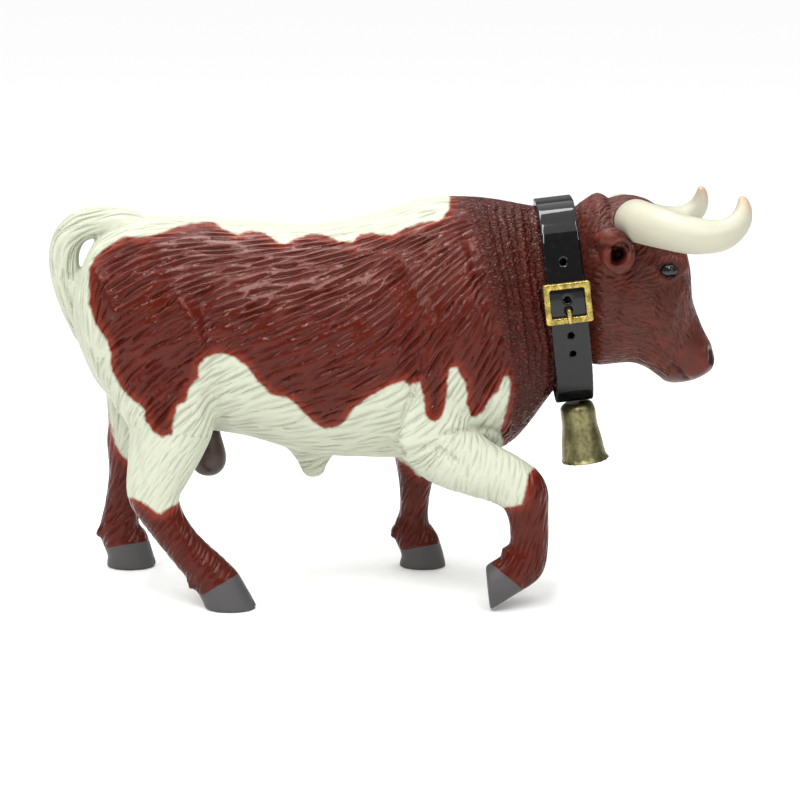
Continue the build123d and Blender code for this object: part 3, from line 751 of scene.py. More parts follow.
# Which way the hair strokes run: a pixel, and the angle above level there
HAIR_WAYS = (
    (300, 300, 25), (340, 345, 27), (270, 275, 20), (380, 300, 36), (150, 285, 30), (180, 325, 33),
    (125, 335, 36), (200, 255, 20), (180, 238, 10), (250, 240, 10), (330, 245, 14), (400, 226, 20),
    (160, 440, 45), (140, 475, 58), (200, 430, 35), (230, 390, 30), (300, 430, 22), (380, 430, 22),
    (420, 440, 15), (430, 300, 52), (460, 330, 55), (440, 380, 58), (480, 385, 66), (415, 260, 44),
    (500, 425, 72), (470, 462, 84), (510, 478, 88), (532, 495, 62), (530, 545, 66), (500, 560, 70),
    (180, 545, 62), (215, 580, 58), (120, 500, 42), (115, 440, 80), (420, 500, 60), (470, 225, 35),
    (80, 225, 12), (62, 270, 88), (75, 325, -60), (630, 335, 4), (612, 300, -8), (660, 330, -58),
    (692, 330, -62), (615, 212, 38), (650, 226, 60), (600, 350, 5), (655, 290, 30), (690, 290, -75),
)
WAY_REACH = 34.0


class Stroke(Enum):
    """Kinds of carved stroke: gap, length, depth and half width in millimetres, and how far they stray."""

    HAIR = (1.15, 13.0, 0.36, 0.40, 0.07)
    LEG = (0.95, 7.0, 0.20, 0.34, 0.1)
    FACE = (0.75, 2.8, 0.20, 0.30, 0.45)
    CRACK = (0.75, 1.7, 0.26, 0.28, 0.2)

    @property
    def gap(self) -> float:
        """Room between neighbours."""
        return self.value[0]

    @property
    def length(self) -> float:
        """Usual length."""
        return self.value[1]

    @property
    def depth(self) -> float:
        """Depth of its middle."""
        return self.value[2]

    @property
    def half_width(self) -> float:
        """Half its width."""
        return self.value[3]

    @property
    def stray(self) -> float:
        """How far, in radians, one may turn from the hair's run."""
        return self.value[4]


# How strokes are spread, drawn and carved: shares of a kind's own sizes, and steps in millimetres
STROKE_STEP = 0.55
STROKE_POOL = 0.12
STROKE_ROOM = 0.55
STROKE_LENGTHS = (0.55, 1.25)
STROKE_DEPTHS = (0.55, 1.1)
STROKE_BEND = 0.14
STROKE_WAVE = 0.45
STROKE_PHASES = (0, 6)
STROKE_SEED = 7
NEIGHBOURS = 9

NECK_AREA: Outline = (
    (462, 190), (480, 250), (495, 310), (512, 370), (512, 440), (570, 440), (600, 380), (600, 180),
)
EAR_AREA: Outline = ((596, 246), (602, 232), (626, 231), (634, 245), (628, 268), (616, 278), (602, 268))
MUZZLE_AREA: Outline = ((690, 338), (720, 330), (725, 385), (660, 390), (676, 360))

# Red-brown areas of each side, and of the legs
NEAR_COAT: Outline = (
    (89, 269), (94, 258), (108, 246), (126, 236), (140, 237), (154, 235), (179, 226), (201, 222),
    (215, 222), (224, 229), (238, 235), (251, 230), (263, 232), (283, 245), (298, 238), (310, 234),
    (323, 234), (339, 241), (353, 242), (360, 233), (373, 233), (391, 235), (405, 228), (423, 222),
    (441, 220), (449, 210), (451, 180), (780, 150), (780, 400), (600, 480), (503, 445), (500, 430),
    (503, 420), (510, 396), (510, 382), (508, 375), (504, 378), (498, 392), (489, 400), (484, 412),
    (476, 417), (471, 416), (467, 405), (466, 384), (460, 375), (457, 367), (450, 369), (448, 380),
    (446, 405), (442, 417), (434, 423), (426, 416), (423, 394), (419, 382), (416, 382), (409, 386),
    (405, 381), (394, 384), (380, 391), (366, 399), (353, 409), (344, 423), (334, 428), (325, 429),
    (316, 424), (301, 410), (290, 399), (272, 395), (261, 385), (247, 367), (235, 357), (222, 353),
    (206, 357), (199, 366), (199, 378), (190, 387), (186, 401), (177, 407), (174, 419), (172, 434),
    (163, 438), (154, 432), (145, 421), (145, 410), (133, 401), (119, 385), (111, 369), (111, 353),
    (106, 339), (95, 323), (89, 305),
)
FAR_COAT: Outline = (
    (92, 285), (97, 262), (115, 246), (140, 240), (170, 234), (200, 230), (225, 236), (245, 236),
    (262, 246), (280, 250), (300, 238), (325, 228), (350, 236), (380, 240), (405, 230), (430, 224),
    (446, 215), (451, 180), (780, 150), (780, 400), (600, 480), (520, 450), (520, 400), (512, 384),
    (505, 396), (495, 408), (482, 402), (475, 384), (462, 380), (455, 398), (445, 414), (430, 412),
    (420, 396), (405, 388), (388, 396), (372, 414), (350, 420), (330, 408), (300, 398), (275, 402),
    (255, 392), (238, 372), (215, 360), (196, 366), (180, 380), (168, 398), (150, 404), (135, 395),
    (120, 372), (112, 345), (98, 320),
)
LEG_COATS: dict[Part, Outline] = {
    Part.RIGHT_HIND: (
        (100, 498), (133, 498), (146, 504), (156, 513), (161, 514), (169, 508), (180, 502), (230, 490),
        (290, 560), (290, 640), (100, 640),
    ),
    Part.LEFT_HIND: (
        (70, 410), (108, 410), (110, 423), (116, 443), (120, 453), (129, 461), (150, 468), (190, 480),
        (190, 600), (70, 600),
    ),
    Part.RIGHT_FORE: (
        (537, 462), (534, 467), (528, 475), (526, 489), (522, 504), (515, 506), (507, 507), (460, 520),
        (460, 640), (590, 640), (590, 440),
    ),
    Part.LEFT_FORE: (
        (370, 455), (399, 459), (409, 466), (420, 477), (433, 471), (470, 465), (470, 600), (370, 600),
    ),
}
# The line where each hoof starts, and a pixel on the hoof
HOOF_TOPS: dict[Part, tuple[Pixel, Pixel, Pixel]] = {
    Part.RIGHT_HIND: ((203, 595), (236, 575), (230, 600)),
    Part.LEFT_HIND: ((101, 549), (142, 542), (125, 560)),
    Part.RIGHT_FORE: ((488, 561), (511, 580), (495, 590)),
    Part.LEFT_FORE: ((399, 551), (436, 544), (420, 560)),
}

# Painted shade in hollows, as lines of pixels and half widths: nostril, mouth, ear and the eye's upper lid,
# with the eye's own black corner
DARK_LINES = (
    (((711, 351), (712.5, 356), (711.5, 362)), 0.8),
    (((689, 379), (684, 377), (679, 370)), 0.3),
    (((615, 260), (619, 254), (624, 248)), 1.2),
    (((657, 269), (663, 270)), 0.4),
    (((658, 267), (664, 263), (673, 264), (677, 268)), 0.35),
)
# A coat or hoof distance for places that are far from any border, and how softly the neck's area ends
CLEAR = 20.0
NECK_FADE = 3
HOOF_MARGIN = 0.6

# The collar's plane, the nape behind it, and the forms of strap, bell and horn
COLLAR_MIDDLE = np.array((38.82, -0.146, 67.2))
COLLAR_WAY = np.array((0.993, 0.0, 0.118))
COLLAR_HALF_WIDTH = 3.6
COLLAR_BACK = 8
NAPE_END = 48.5
NAPE_LENGTH = 6.2
NAPE_GROWTH = 0.26
SHOULDER_POWER = 2.6
SHOULDER_START = 8.0
SHOULDER_BLEND = 5.0
BELL_SHOULDER = 42.4
BELL_BLEND = 1.0
BELL_GROWTH = 0.07
BELL_LIP = 1.6
HORN_BEND_PERCENT = 55

# The head's lean, and its eyes
HEAD_ROLL_DEG = 4.2
HEAD_ROLL_HEIGHT = 80.4
EYE_PIXEL: Pixel = (667.8, 271.2)
EYE_HALF_PIXELS = (8.4, 6.8)
EYE_RADII = (2.05, 1.2, 1.6)
EYE_SINK = 0.2
EYE_SEGMENTS = (24, 16)
LID_HEIGHT = 0.4
LID_RING = 1.25
LID_WIDTH = 0.25
SOCKET_DEPTH = 0.5


def head_mirror(places: np.ndarray) -> np.ndarray:
    """Reflect places across the head's own middle plane, which the head's roll leans over.

    Args:
        places: Points in millimetres, one to a row.

    Returns:
        The reflected points.
    """
    turn = 2 * math.radians(HEAD_ROLL_DEG)
    y = -places[:, 1]
    z = places[:, 2] - HEAD_ROLL_HEIGHT
    leaned_y = y * math.cos(turn) + z * math.sin(turn)
    leaned_z = -y * math.sin(turn) + z * math.cos(turn)
    return np.stack([places[:, 0], leaned_y, leaned_z + HEAD_ROLL_HEIGHT], axis=1)


class Skin:
    """A piece's vertices as arrays in millimetres, with the moves that form and carve it."""

    FACING_GAIN = 1.6
    LIP_SLOPE = 1.6
    # How closely a fold's painted shade keeps to its line.
    FOLD_SHADE_TIGHTNESS = 1.6
    LABEL_MARGIN = 1.0

    def __init__(self, mesh: bpy.types.Mesh, parted: bool = False) -> None:
        """Read a mesh's vertices and edges.

        Args:
            mesh: The mesh to form.
            parted: Whether it is shared by all of PARTS.
        """
        self.mesh = mesh
        self.places = read_vectors(mesh.vertices, "co") / MM
        ends = np.empty(len(mesh.edges) * 2, np.int32)
        mesh.edges.foreach_get("vertices", ends)
        self.starts, self.stops = ends.reshape(-1, 2).T
        self.degree = np.bincount(ends, minlength=len(self.places))
        self.labels = self.nearest_parts() if parted else np.zeros(len(self.places), int)
        self.folds = np.zeros(len(self.places))
        self.comb = np.tile((-1.0, 0.0, 0.0), (len(self.places), 1))
        self.refresh()

    def nearest_parts(self) -> np.ndarray:
        """The index in PARTS of the solid that each vertex lies on."""
        nearest = np.full(len(self.places), np.inf)
        labels = np.zeros(len(self.places), int)
        for index, part in enumerate(PARTS):
            low, high = (np.array(corner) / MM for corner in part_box(part.value))
            above_low = self.places > low - self.LABEL_MARGIN
            near = np.all(above_low & (self.places < high + self.LABEL_MARGIN), axis=1)
            tree = BVHTree.FromPolygons(
                [v.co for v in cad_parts[part.value].data.vertices],
                [p.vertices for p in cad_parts[part.value].data.polygons],
            )
            for vertex in np.flatnonzero(near):
                distance = tree.find_nearest(Vector(self.places[vertex]) * MM)[3]
                if distance < nearest[vertex]:
                    nearest[vertex] = distance
                    labels[vertex] = index
        return labels

    def of(self, *parts: Part) -> np.ndarray:
        """Which vertices belong to some of the pieces."""
        return np.isin(self.labels, [PARTS.index(part) for part in parts])

    def refresh(self) -> None:
        """Write the places back, and read the normals and where each vertex shows."""
        self.mesh.vertices.foreach_set("co", (self.places * MM).astype(np.float32).ravel())
        self.mesh.update()
        self.normals = read_vectors(self.mesh.vertex_normals, "vector")
        self.far = (self.places[:, 1] > 0) & ~self.of(*FAR_LEGS)
        twins = self.places.copy()
        twins[self.far, 1] *= -1
        head = self.far & self.of(Part.HEAD)
        twins[head] = head_mirror(self.places[head])
        self.pixels = VIEW.pixels(twins)
        facing = self.normals.copy()
        facing[self.far, 1] *= -1
        self.facing = np.clip(-self.FACING_GAIN * facing @ VIEW.axes[2], 0, 1)

    def average(self, values: np.ndarray) -> np.ndarray:
        """Mean of each vertex's neighbours.

        Args:
            values: A number or a vector of each vertex.

        Returns:
            The means, in the same form.
        """
        count = len(values)
        columns = [
            np.bincount(self.starts, column[self.stops], count)
            + np.bincount(self.stops, column[self.starts], count)
            for column in values.reshape(count, -1).T
        ]
        return (np.stack(columns, axis=1) / self.degree[:, None]).reshape(values.shape)

    def smooth(self, rounds: int, share: np.ndarray) -> None:
        """Draw vertices towards their neighbours.

        Args:
            rounds: How many times.
            share: How much of the way each vertex goes.
        """
        for _ in range(rounds):
            self.places += share[:, None] * (self.average(self.places) - self.places)
        self.refresh()

    def push(self, height: np.ndarray) -> None:
        """Move vertices out along their normals by millimetres."""
        self.places += height[:, None] * self.normals

    def crease(self, fold: Crease) -> None:
        """Press one fold in, and keep the painted shade in it.

        Args:
            fold: Its line, sizes and painted shade.
        """
        touched = np.flatnonzero(self.of(*fold.parts) & (self.facing > 0))
        offset = line_offset(self.pixels[touched], fold.line) / VIEW.pixels_per_mm
        away = np.abs(offset)
        dent = fold.depth * np.exp(-((away / fold.half_width) ** 2))
        left = np.clip(0.5 + self.LIP_SLOPE * offset, 0, 1)
        rise = fold.lip * np.exp(-((away / fold.lip_width) ** 2)) * left
        height = np.zeros(len(self.places))
        height[touched] = (rise - dent) * self.facing[touched]
        self.push(height)
        # Painted shade in the fold, darkest along its line.
        tight = away / fold.half_width * self.FOLD_SHADE_TIGHTNESS
        streak_and_fold_shade = fold.streak_and_fold_shade * np.exp(-(tight ** 2)) * self.facing[touched]
        self.folds[touched] = np.maximum(self.folds[touched], streak_and_fold_shade)

    def swell(self, form: Swell) -> None:
        """Raise one bulge.

        Args:
            form: Its middle, radius and height.
        """
        away = np.linalg.norm(self.pixels - np.array(form.middle), axis=1) / VIEW.pixels_per_mm
        height = form.height * np.exp(-((away / form.radius) ** 2)) * self.facing * self.of(*form.parts)
        self.push(height)


class HairCarver:
    """Carves rows of hair strokes along a field of directions."""

    def __init__(self, skin: Skin) -> None:
        """Work out each vertex's hair direction.

        Args:
            skin: The hide.
        """
        self.skin = skin
        self.random = np.random.default_rng(STROKE_SEED)
        ways = np.array(HAIR_WAYS, float)
        turns = np.radians(ways[:, 2]) * 2
        across = skin.pixels[:, None, 0] - ways[:, 0]
        down = skin.pixels[:, None, 1] - ways[:, 1]
        weight = np.exp(-(across ** 2 + down ** 2) / (2 * WAY_REACH ** 2)) + TINY
        turn = np.arctan2(weight @ np.sin(turns), weight @ np.cos(turns)) / 2
        turn[inside(skin.pixels, NECK_AREA) & skin.of(Part.TORSO)] = math.radians(CRACK_TURN_DEG)
        self.ways = np.stack([np.cos(turn), np.zeros(len(turn)), np.sin(turn)], axis=1)
        self.flatten()
        self.tree = KDTree(len(skin.places))
        for index, place in enumerate(skin.places):
            self.tree.insert(place, index)
        self.tree.balance()

    def flatten(self) -> None:
        """Lay the directions down on the hide."""
        normals = self.skin.normals
        self.ways -= np.sum(self.ways * normals, axis=1)[:, None] * normals
        self.ways /= np.linalg.norm(self.ways, axis=1)[:, None] + TINY

    def seeds(self, kind: Stroke, allowed: np.ndarray) -> list[int]:
        """Pick spread-out vertices to start strokes at.

        Args:
            kind: The stroke, which gives the gaps.
            allowed: Which vertices may be picked.

        Returns:
            Vertex indices.
        """
        pool = self.random.permutation(np.flatnonzero(allowed))
        pool = pool[: int(len(pool) * STROKE_POOL)]
        places, ways = self.skin.places[pool], self.ways[pool]
        tree = KDTree(len(pool))
        for index, place in enumerate(places):
            tree.insert(place, index)
        tree.balance()
        taken = np.zeros(len(pool), bool)
        chosen = []
        reach = kind.length * STROKE_ROOM
        for index in range(len(pool)):
            if taken[index]:
                continue
            chosen.append(int(pool[index]))
            near = np.array([found[1] for found in tree.find_range(places[index], reach)], int)
            offset = places[near] - places[index]
            along = offset @ ways[index]
            across = np.sqrt(np.maximum(np.sum(offset ** 2, axis=1) - along ** 2, 0))
            taken[near[across < kind.gap]] = True
        return chosen

    def trace(self, kind: Stroke, start: int) -> list[tuple[Vector, Vector, float]]:
        """Follow one stroke over the hide.

        Args:
            kind: The stroke.
            start: The vertex at its middle.

        Returns:
            Its points, directions and depths as shares of the full depth.
        """
        length = kind.length * self.random.uniform(*STROKE_LENGTHS)
        bend = self.random.uniform(-STROKE_BEND, STROKE_BEND)
        phase = self.random.uniform(*STROKE_PHASES)
        stray = self.random.uniform(-kind.stray, kind.stray)
        depth = self.random.uniform(*STROKE_DEPTHS)
        count = max(2, int(length / STROKE_STEP / 2))
        points = []
        for sign in (1, -1):
            place = Vector(self.skin.places[start])
            vertex = start
            for number in range(count):
                way = Vector(self.ways[vertex])
                normal = Vector(self.skin.normals[vertex])
                swerve = stray + bend * math.sin(sign * number * STROKE_WAVE + phase)
                way = (way + normal.cross(way) * swerve).normalized()
                points.append((place.copy(), way, depth * (1 - (number / count) ** 2)))
                place += way * sign * STROKE_STEP
                near, vertex, _ = self.tree.find(place)
                normal = Vector(self.skin.normals[vertex])
                place -= normal * (place - near).dot(normal)
        return points

    def carve(self, kind: Stroke, allowed: np.ndarray) -> None:
        """Carve strokes of one kind over an area, and mark where between two strokes each vertex lies.

        Args:
            kind: The stroke.
            allowed: The vertices of the area.
        """
        skin = self.skin
        strokes = [self.trace(kind, start) for start in self.seeds(kind, allowed)]
        owner = np.repeat(np.arange(len(strokes)), [len(stroke) for stroke in strokes])
        samples = [point for stroke in strokes for point in stroke]
        lines = KDTree(len(samples))
        for index, (place, _, _) in enumerate(samples):
            lines.insert(place, index)
        lines.balance()
        touched = np.flatnonzero(allowed)
        pairs = np.empty((len(touched), 2), int)
        for row, vertex in enumerate(touched):
            found = [index for _, index, _ in lines.find_n(skin.places[vertex], NEIGHBOURS)]
            others = [index for index in found if owner[index] != owner[found[0]]]
            pairs[row] = found[0], (others or found)[0]
        places = np.array([tuple(sample[0]) for sample in samples])
        ways = np.array([tuple(sample[1]) for sample in samples])
        depths = np.array([sample[2] for sample in samples])

        def gap_to(chosen: np.ndarray) -> tuple[np.ndarray, np.ndarray]:
            """Measure from each touched vertex to a point on a stroke.

            Args:
                chosen: The index of each vertex's point.

            Returns:
                The offsets from the points, and the distances across their strokes.
            """
            offset = skin.places[touched] - places[chosen]
            along = np.abs(np.sum(offset * ways[chosen], axis=1))
            excess = np.maximum(along - STROKE_STEP, 0) ** 2
            return offset, np.sqrt(np.maximum(np.sum(offset ** 2, axis=1) - along ** 2, 0) + excess)

        offset, first = gap_to(pairs[:, 0])
        second = np.where(pairs[:, 0] == pairs[:, 1], kind.gap * 2, gap_to(pairs[:, 1])[1])
        sideways = np.cross(skin.normals[touched], ways[pairs[:, 0]])
        side = np.sign(np.sum(sideways * offset, axis=1))
        turn = math.pi * side * np.clip(2 * first / (first + second + 1e-6), 0, 1)
        depth = depths[pairs[:, 0]]
        groove = np.exp(-((first / kind.half_width) ** 2)) * depth
        height = np.zeros(len(skin.places))
        height[touched] = -kind.depth * groove
        skin.push(height)
        depth_share = depth * kind.depth / Stroke.HAIR.depth
        skin.comb[touched] = np.stack([np.cos(turn), np.sin(turn), depth_share], axis=1)
        LOG.info("%s strokes: %d", kind.name.lower(), len(strokes))


@dataclass
class Hide:
    """The moulded animal: one carved and painted skin, parted into its pieces."""

    grain: float = 0.30
    quick_grain: float = 0.55
    most_triangles: int = 190000
    smooth_rounds: int = 40
    torso_smoothing: float = 0.5
    head_smoothing: float = 0.22
    limb_smoothing: float = 0.25
    blend_rounds: int = 6
    pocket_share: float = 0.05
    skin: Optional[Skin] = None
    painted: dict[str, np.ndarray] = field(default_factory=dict)
    pieces: dict[Part, bpy.types.Object] = field(default_factory=dict)

    def build(self) -> None:
        """Grow, form, carve and part the skin."""
        grain = self.grain
        mesh = remesh(solid_copy([part.value for part in PARTS]), grain)
        self.skin = Skin(self.outer_shells(mesh), parted=True)
        LOG.info("skin: %d vertices", len(self.skin.places))
        self.form()
        self.carve()
        self.paint()
        self.part()

    def outer_shells(self, mesh: bpy.types.Mesh) -> bpy.types.Mesh:
        """Keep the outer shells of body and head, and drop the closed pockets round pegs inside them.

        Args:
            mesh: The skin, which is changed.

        Returns:
            The same mesh.
        """
        form = bmesh.new()
        form.from_mesh(mesh)
        left = set(form.verts)
        shells = []
        while left:
            first = left.pop()
            shell, edge = [first], [first]
            while edge:
                vertex = edge.pop()
                for link in vertex.link_edges:
                    other = link.other_vert(vertex)
                    if other in left:
                        left.remove(other)
                        shell.append(other)
                        edge.append(other)
            shells.append(shell)
        least = self.pocket_share * len(form.verts)
        for shell in shells:
            if len(shell) < least:
                bmesh.ops.delete(form, geom=shell, context="VERTS")
        form.to_mesh(mesh)
        form.free()
        return mesh

    def form(self) -> None:
        """Even out the skin, then raise muscles and press folds."""
        skin = self.skin
        share = np.full(len(skin.places), self.limb_smoothing)
        share[skin.of(Part.HEAD)] = self.head_smoothing
        share[skin.of(Part.TORSO)] = self.torso_smoothing
        for _ in range(self.blend_rounds):
            share = skin.average(share)
        skin.smooth(self.smooth_rounds, share)
        self.raise_nape()
        for form in SWELLS:
            skin.swell(form)
        for fold in CREASES:
            skin.crease(fold)
        away = np.linalg.norm((skin.pixels - EYE_PIXEL) / EYE_HALF_PIXELS, axis=1)
        lids = LID_HEIGHT * np.exp(-(((away - LID_RING) / LID_WIDTH) ** 2))
        socket = SOCKET_DEPTH * np.exp(-(away ** 4))
        skin.push((lids - socket) * skin.facing * skin.of(Part.HEAD))
        self.wrinkle()
        skin.refresh()

    def wrinkle(self) -> None:
        """Press the neck's fan of wrinkles."""
        random = np.random.default_rng(WRINKLE_SEED)
        first, last = np.array(WRINKLE_FIRST), np.array(WRINKLE_LAST)
        for number in range(WRINKLES):
            stray = random.uniform(-WRINKLE_STRAY, WRINKLE_STRAY, (len(first), 1)) * (1, 0)
            line = first + (last - first) * number / (WRINKLES - 1) + stray
            corners = tuple(map(tuple, line))
            fold = Crease(corners, WRINKLE_DEPTH, WRINKLE_HALF_WIDTH, (Part.TORSO,), streak_and_fold_shade=WRINKLE_SHADE)
            self.skin.crease(fold)

    def raise_nape(self) -> None:
        """Lift the back of the head to the height of the neck before it."""
        skin = self.skin
        near = np.clip((NAPE_END - skin.places[:, 0]) / NAPE_LENGTH, 0, 1) * skin.of(Part.HEAD)
        above = np.maximum(skin.places[:, 2] - COLLAR_MIDDLE[2], 0)
        skin.places[:, 2] += NAPE_GROWTH * near * above
        skin.refresh()

    def carve(self) -> None:
        """Carve the hair of body, legs, neck and face."""
        skin = self.skin
        hoof = self.hoof_depth() > -HOOF_MARGIN
        neck = inside(skin.pixels, NECK_AREA) & skin.of(Part.TORSO)
        muzzle = inside(skin.pixels, MUZZLE_AREA) & skin.of(Part.HEAD)
        ear = inside(skin.pixels, EAR_AREA) & skin.of(Part.HEAD)
        body = skin.of(Part.TORSO, Part.TAIL) & ~neck
        legs = skin.of(Part.RIGHT_FORE, Part.LEFT_FORE, Part.RIGHT_HIND, Part.LEFT_HIND) & ~hoof
        face = skin.of(Part.HEAD) & ~muzzle & ~ear
        areas = {Stroke.HAIR: body, Stroke.LEG: legs, Stroke.FACE: face, Stroke.CRACK: neck}
        carver = HairCarver(skin)
        for kind, area in areas.items():
            carver.carve(kind, area)
            skin.refresh()

    def hoof_depth(self) -> np.ndarray:
        """How far each vertex lies beyond its hoof's top line, in millimetres."""
        skin = self.skin
        depth = np.full(len(skin.places), -CLEAR)
        pixels = VIEW.pixels(skin.places)
        for part, (start, end, sample) in HOOF_TOPS.items():
            run = np.array(end, float) - start
            across = np.array((-run[1], run[0])) / np.linalg.norm(run)
            across *= np.sign((np.array(sample) - start) @ across)
            mine = skin.of(part)
            depth[mine] = (pixels[mine] - start) @ across / VIEW.pixels_per_mm
        return depth

    def paint(self) -> None:
        """Paint coat and hooves on the vertices, with the grooves' comb and painted shade in folds, hollows
        and under the strap.
        """
        skin = self.skin
        coat = np.full(len(skin.places), -CLEAR)
        coat[skin.of(Part.HEAD)] = CLEAR
        near = skin.of(*BODY) & ~skin.far
        coat[near] = depth_inside(skin.pixels[near], NEAR_COAT) / VIEW.pixels_per_mm
        far = skin.of(Part.TORSO) & skin.far
        coat[far] = depth_inside(skin.pixels[far], FAR_COAT) / VIEW.pixels_per_mm
        for part, outline in LEG_COATS.items():
            mine = skin.of(part)
            depth = depth_inside(VIEW.pixels(skin.places[mine]), outline) / VIEW.pixels_per_mm
            coat[mine] = np.maximum(coat[mine], depth)
        shade = np.zeros(len(skin.places))
        # Painted shade along the hollows' lines, and the eye's black corner.
        for line, width in DARK_LINES:
            away = np.abs(line_offset(skin.pixels, line)) / VIEW.pixels_per_mm / width
            shade = np.maximum(shade, np.exp(-(away ** 2)) * skin.of(Part.HEAD) * np.sqrt(skin.facing))
        # Painted shade: the neck and head under the strap are painted black.
        under = np.abs((skin.places - COLLAR_MIDDLE) @ COLLAR_WAY) < COLLAR_HALF_WIDTH
        forward = skin.places[:, 0] > COLLAR_MIDDLE[0] - COLLAR_BACK
        shade[under & skin.of(Part.TORSO, Part.HEAD) & forward] = 1.0
        neck_depth = depth_inside(skin.pixels, NECK_AREA) / VIEW.pixels_per_mm
        self.painted = {
            "coat": coat,
            # the folds' painted shade
            "fold": skin.folds,
            "hoof": self.hoof_depth(),
            "face": skin.of(Part.HEAD).astype(float),
            "shade": shade,
            "neck": np.clip(neck_depth / NECK_FADE + 0.5, 0, 1) * skin.of(Part.TORSO),
            "comb_cos": skin.comb[:, 0],
            "comb_sin": skin.comb[:, 1],
            "comb_depth": skin.comb[:, 2],
        }

    def part(self) -> None:
        """Part the skin at the moulded joints, one object to a piece."""
        skin = self.skin
        corners = np.empty(len(skin.mesh.loops), np.int32)
        skin.mesh.loops.foreach_get("vertex_index", corners)
        quads = corners.reshape(-1, 4)
        owners = skin.labels[quads[:, 0]]
        paint = HidePaint().build()
        for index, part in enumerate(PARTS):
            mine = quads[owners == index]
            used, faces = np.unique(mine, return_inverse=True)
            mesh = bpy.data.meshes.new(part.value)
            mesh.from_pydata(skin.places[used] * MM, [], faces.reshape(-1, 4))
            mesh.polygons.foreach_set("use_smooth", np.ones(len(mine), bool))
            for name, values in self.painted.items():
                write_numbers(mesh, name, values[used])
            self.pieces[part] = self.complete(mesh, part, paint)

    def complete(self, mesh: bpy.types.Mesh, part: Part, paint: bpy.types.Material) -> bpy.types.Object:
        """Close one parted piece, thin it if it is large, and dress it.

        Args:
            mesh: The open skin of the piece.
            part: Which piece it is.
            paint: The hide's material.

        Returns:
            The finished object.
        """
        close_holes(mesh)
        triangles = sum(len(face.vertices) - 2 for face in mesh.polygons)
        if triangles > self.most_triangles:
            mesh = with_modifier(mesh, "DECIMATE", ratio=self.most_triangles / triangles)
        done = new_object(part.value + "_hide", mesh)
        paints = [paint]
        if part is Part.HEAD:
            paints.append(EYE.build())
        dress(done, paints, part.slot, "figure", part.value)
        if part is Part.HEAD:
            self.add_eyes(mesh)
        return done

    def add_eyes(self, mesh: bpy.types.Mesh) -> None:
        """Set a glossy eyeball in each side of the head.

        Args:
            mesh: The head's mesh, which gains them.
        """
        form = bmesh.new()
        form.from_mesh(mesh)
        tree = BVHTree.FromBMesh(form)
        hit = tree.ray_cast(Vector(VIEW.eye) * MM, VIEW.ray(EYE_PIXEL))[0] / MM
        other = Vector(head_mirror(np.array([tuple(hit)]))[0])
        for place in (hit, other):
            inward = math.copysign(EYE_SINK, -place.y)
            round_count, rise_count = EYE_SEGMENTS
            ball = bmesh.ops.create_uvsphere(form, u_segments=round_count, v_segments=rise_count, radius=MM)
            made = ball["verts"]
            bmesh.ops.scale(form, vec=EYE_RADII, verts=made)
            bmesh.ops.translate(form, vec=(place + Vector((0, inward, 0))) * MM, verts=made)
            for face in {face for vertex in made for face in vertex.link_faces}:
                face.material_index = 1
                face.smooth = True
        form.to_mesh(mesh)
        form.free()


Shaper = Callable[[Skin], None]


@dataclass(frozen=True)
class Casting:
    """A small solid of the frame, given a fine even skin, softened edges and a paint."""

    node: str
    grain: float
    rounds: int
    slot: str
    body: str = "figure"
    smoothing: float = 0.5

    def build(self, paint: bpy.types.Material, shape: Optional[Shaper] = None) -> bpy.types.Object:
        """Make and dress the piece.

        Args:
            paint: Its material.
            shape: Extra forming of its skin.

        Returns:
            The finished object.
        """
        skin = Skin(remesh(solid_copy([self.node]), self.grain))
        skin.mesh.materials.clear()
        skin.smooth(self.rounds, np.full(len(skin.places), self.smoothing))
        if shape:
            shape(skin)
            skin.refresh()
        piece = new_object(self.node + "_piece", skin.mesh)
        dress(piece, [paint], self.slot, self.body, self.node)
        return piece


def shape_strap(skin: Skin) -> None:
    """Square the strap's upper shoulders, so that its sides stand flatter.

    Args:
        skin: The strap's skin, which is changed.
    """
    up = np.cross(COLLAR_WAY, (0.0, 1.0, 0.0))
    offset = skin.places - COLLAR_MIDDLE
    across, above = offset[:, 1], offset @ up
    half_width, half_height = np.abs(across).max(), np.abs(above).max()
    round_reach = np.hypot(across / half_width, above / half_height)
    cosine = np.abs(across / half_width) / round_reach
    sine = np.abs(above / half_height) / round_reach
    growth = (cosine ** SHOULDER_POWER + sine ** SHOULDER_POWER) ** (-1 / SHOULDER_POWER) - 1
    radial = np.stack([np.zeros(len(offset)), across, above * up[2]], axis=1)
    outward = np.sum(skin.normals * radial, axis=1) / np.linalg.norm(radial, axis=1)
    share = np.clip((above - SHOULDER_START) / SHOULDER_BLEND, 0, 1) * np.clip(0.5 + outward, 0, 1)
    skin.places[:, 1] += growth * share * across
    skin.places += (growth * share * above)[:, None] * up


def shape_bell(skin: Skin) -> None:
    """Widen the bell's body a little below its shoulder.

    Args:
        skin: The bell's skin, which is changed.
    """
    middle = (skin.places[:, 0].min() + skin.places[:, 0].max()) / 2
    share = np.clip((BELL_SHOULDER - skin.places[:, 2]) / BELL_BLEND, 0, 1)
    lip = np.clip((skin.places[:, 2].min() + BELL_LIP - skin.places[:, 2]) / BELL_LIP, 0, 1)
    skin.places[:, 0] += (skin.places[:, 0] - middle) * (BELL_GROWTH * share - BELL_GROWTH * lip)


def shape_horn(skin: Skin) -> None:
    """Mark how far along the horn each vertex lies, from root to tip.

    Args:
        skin: The horn's skin, which is changed.
    """
    height = skin.places[:, 2]
    low, high = height.min(), height.max()
    forward = skin.places[:, 0]
    beyond = forward > np.percentile(forward, HORN_BEND_PERCENT)
    write_numbers(skin.mesh, "tip", np.clip((height - low) / (high - low), 0, 1) * beyond)


@dataclass(frozen=True)
class Horns:
    """Both horns, pegged into the head."""

    near: Casting = Casting("right_horn", grain=0.3, rounds=20, slot="horn")
    far: Casting = Casting("left_horn", grain=0.3, rounds=20, slot="horn")

    def build(self) -> None:
        """Make and dress both in one paint."""
        paint = HornPaint().build()
        for horn in (self.near, self.far):
            horn.build(paint, shape_horn)


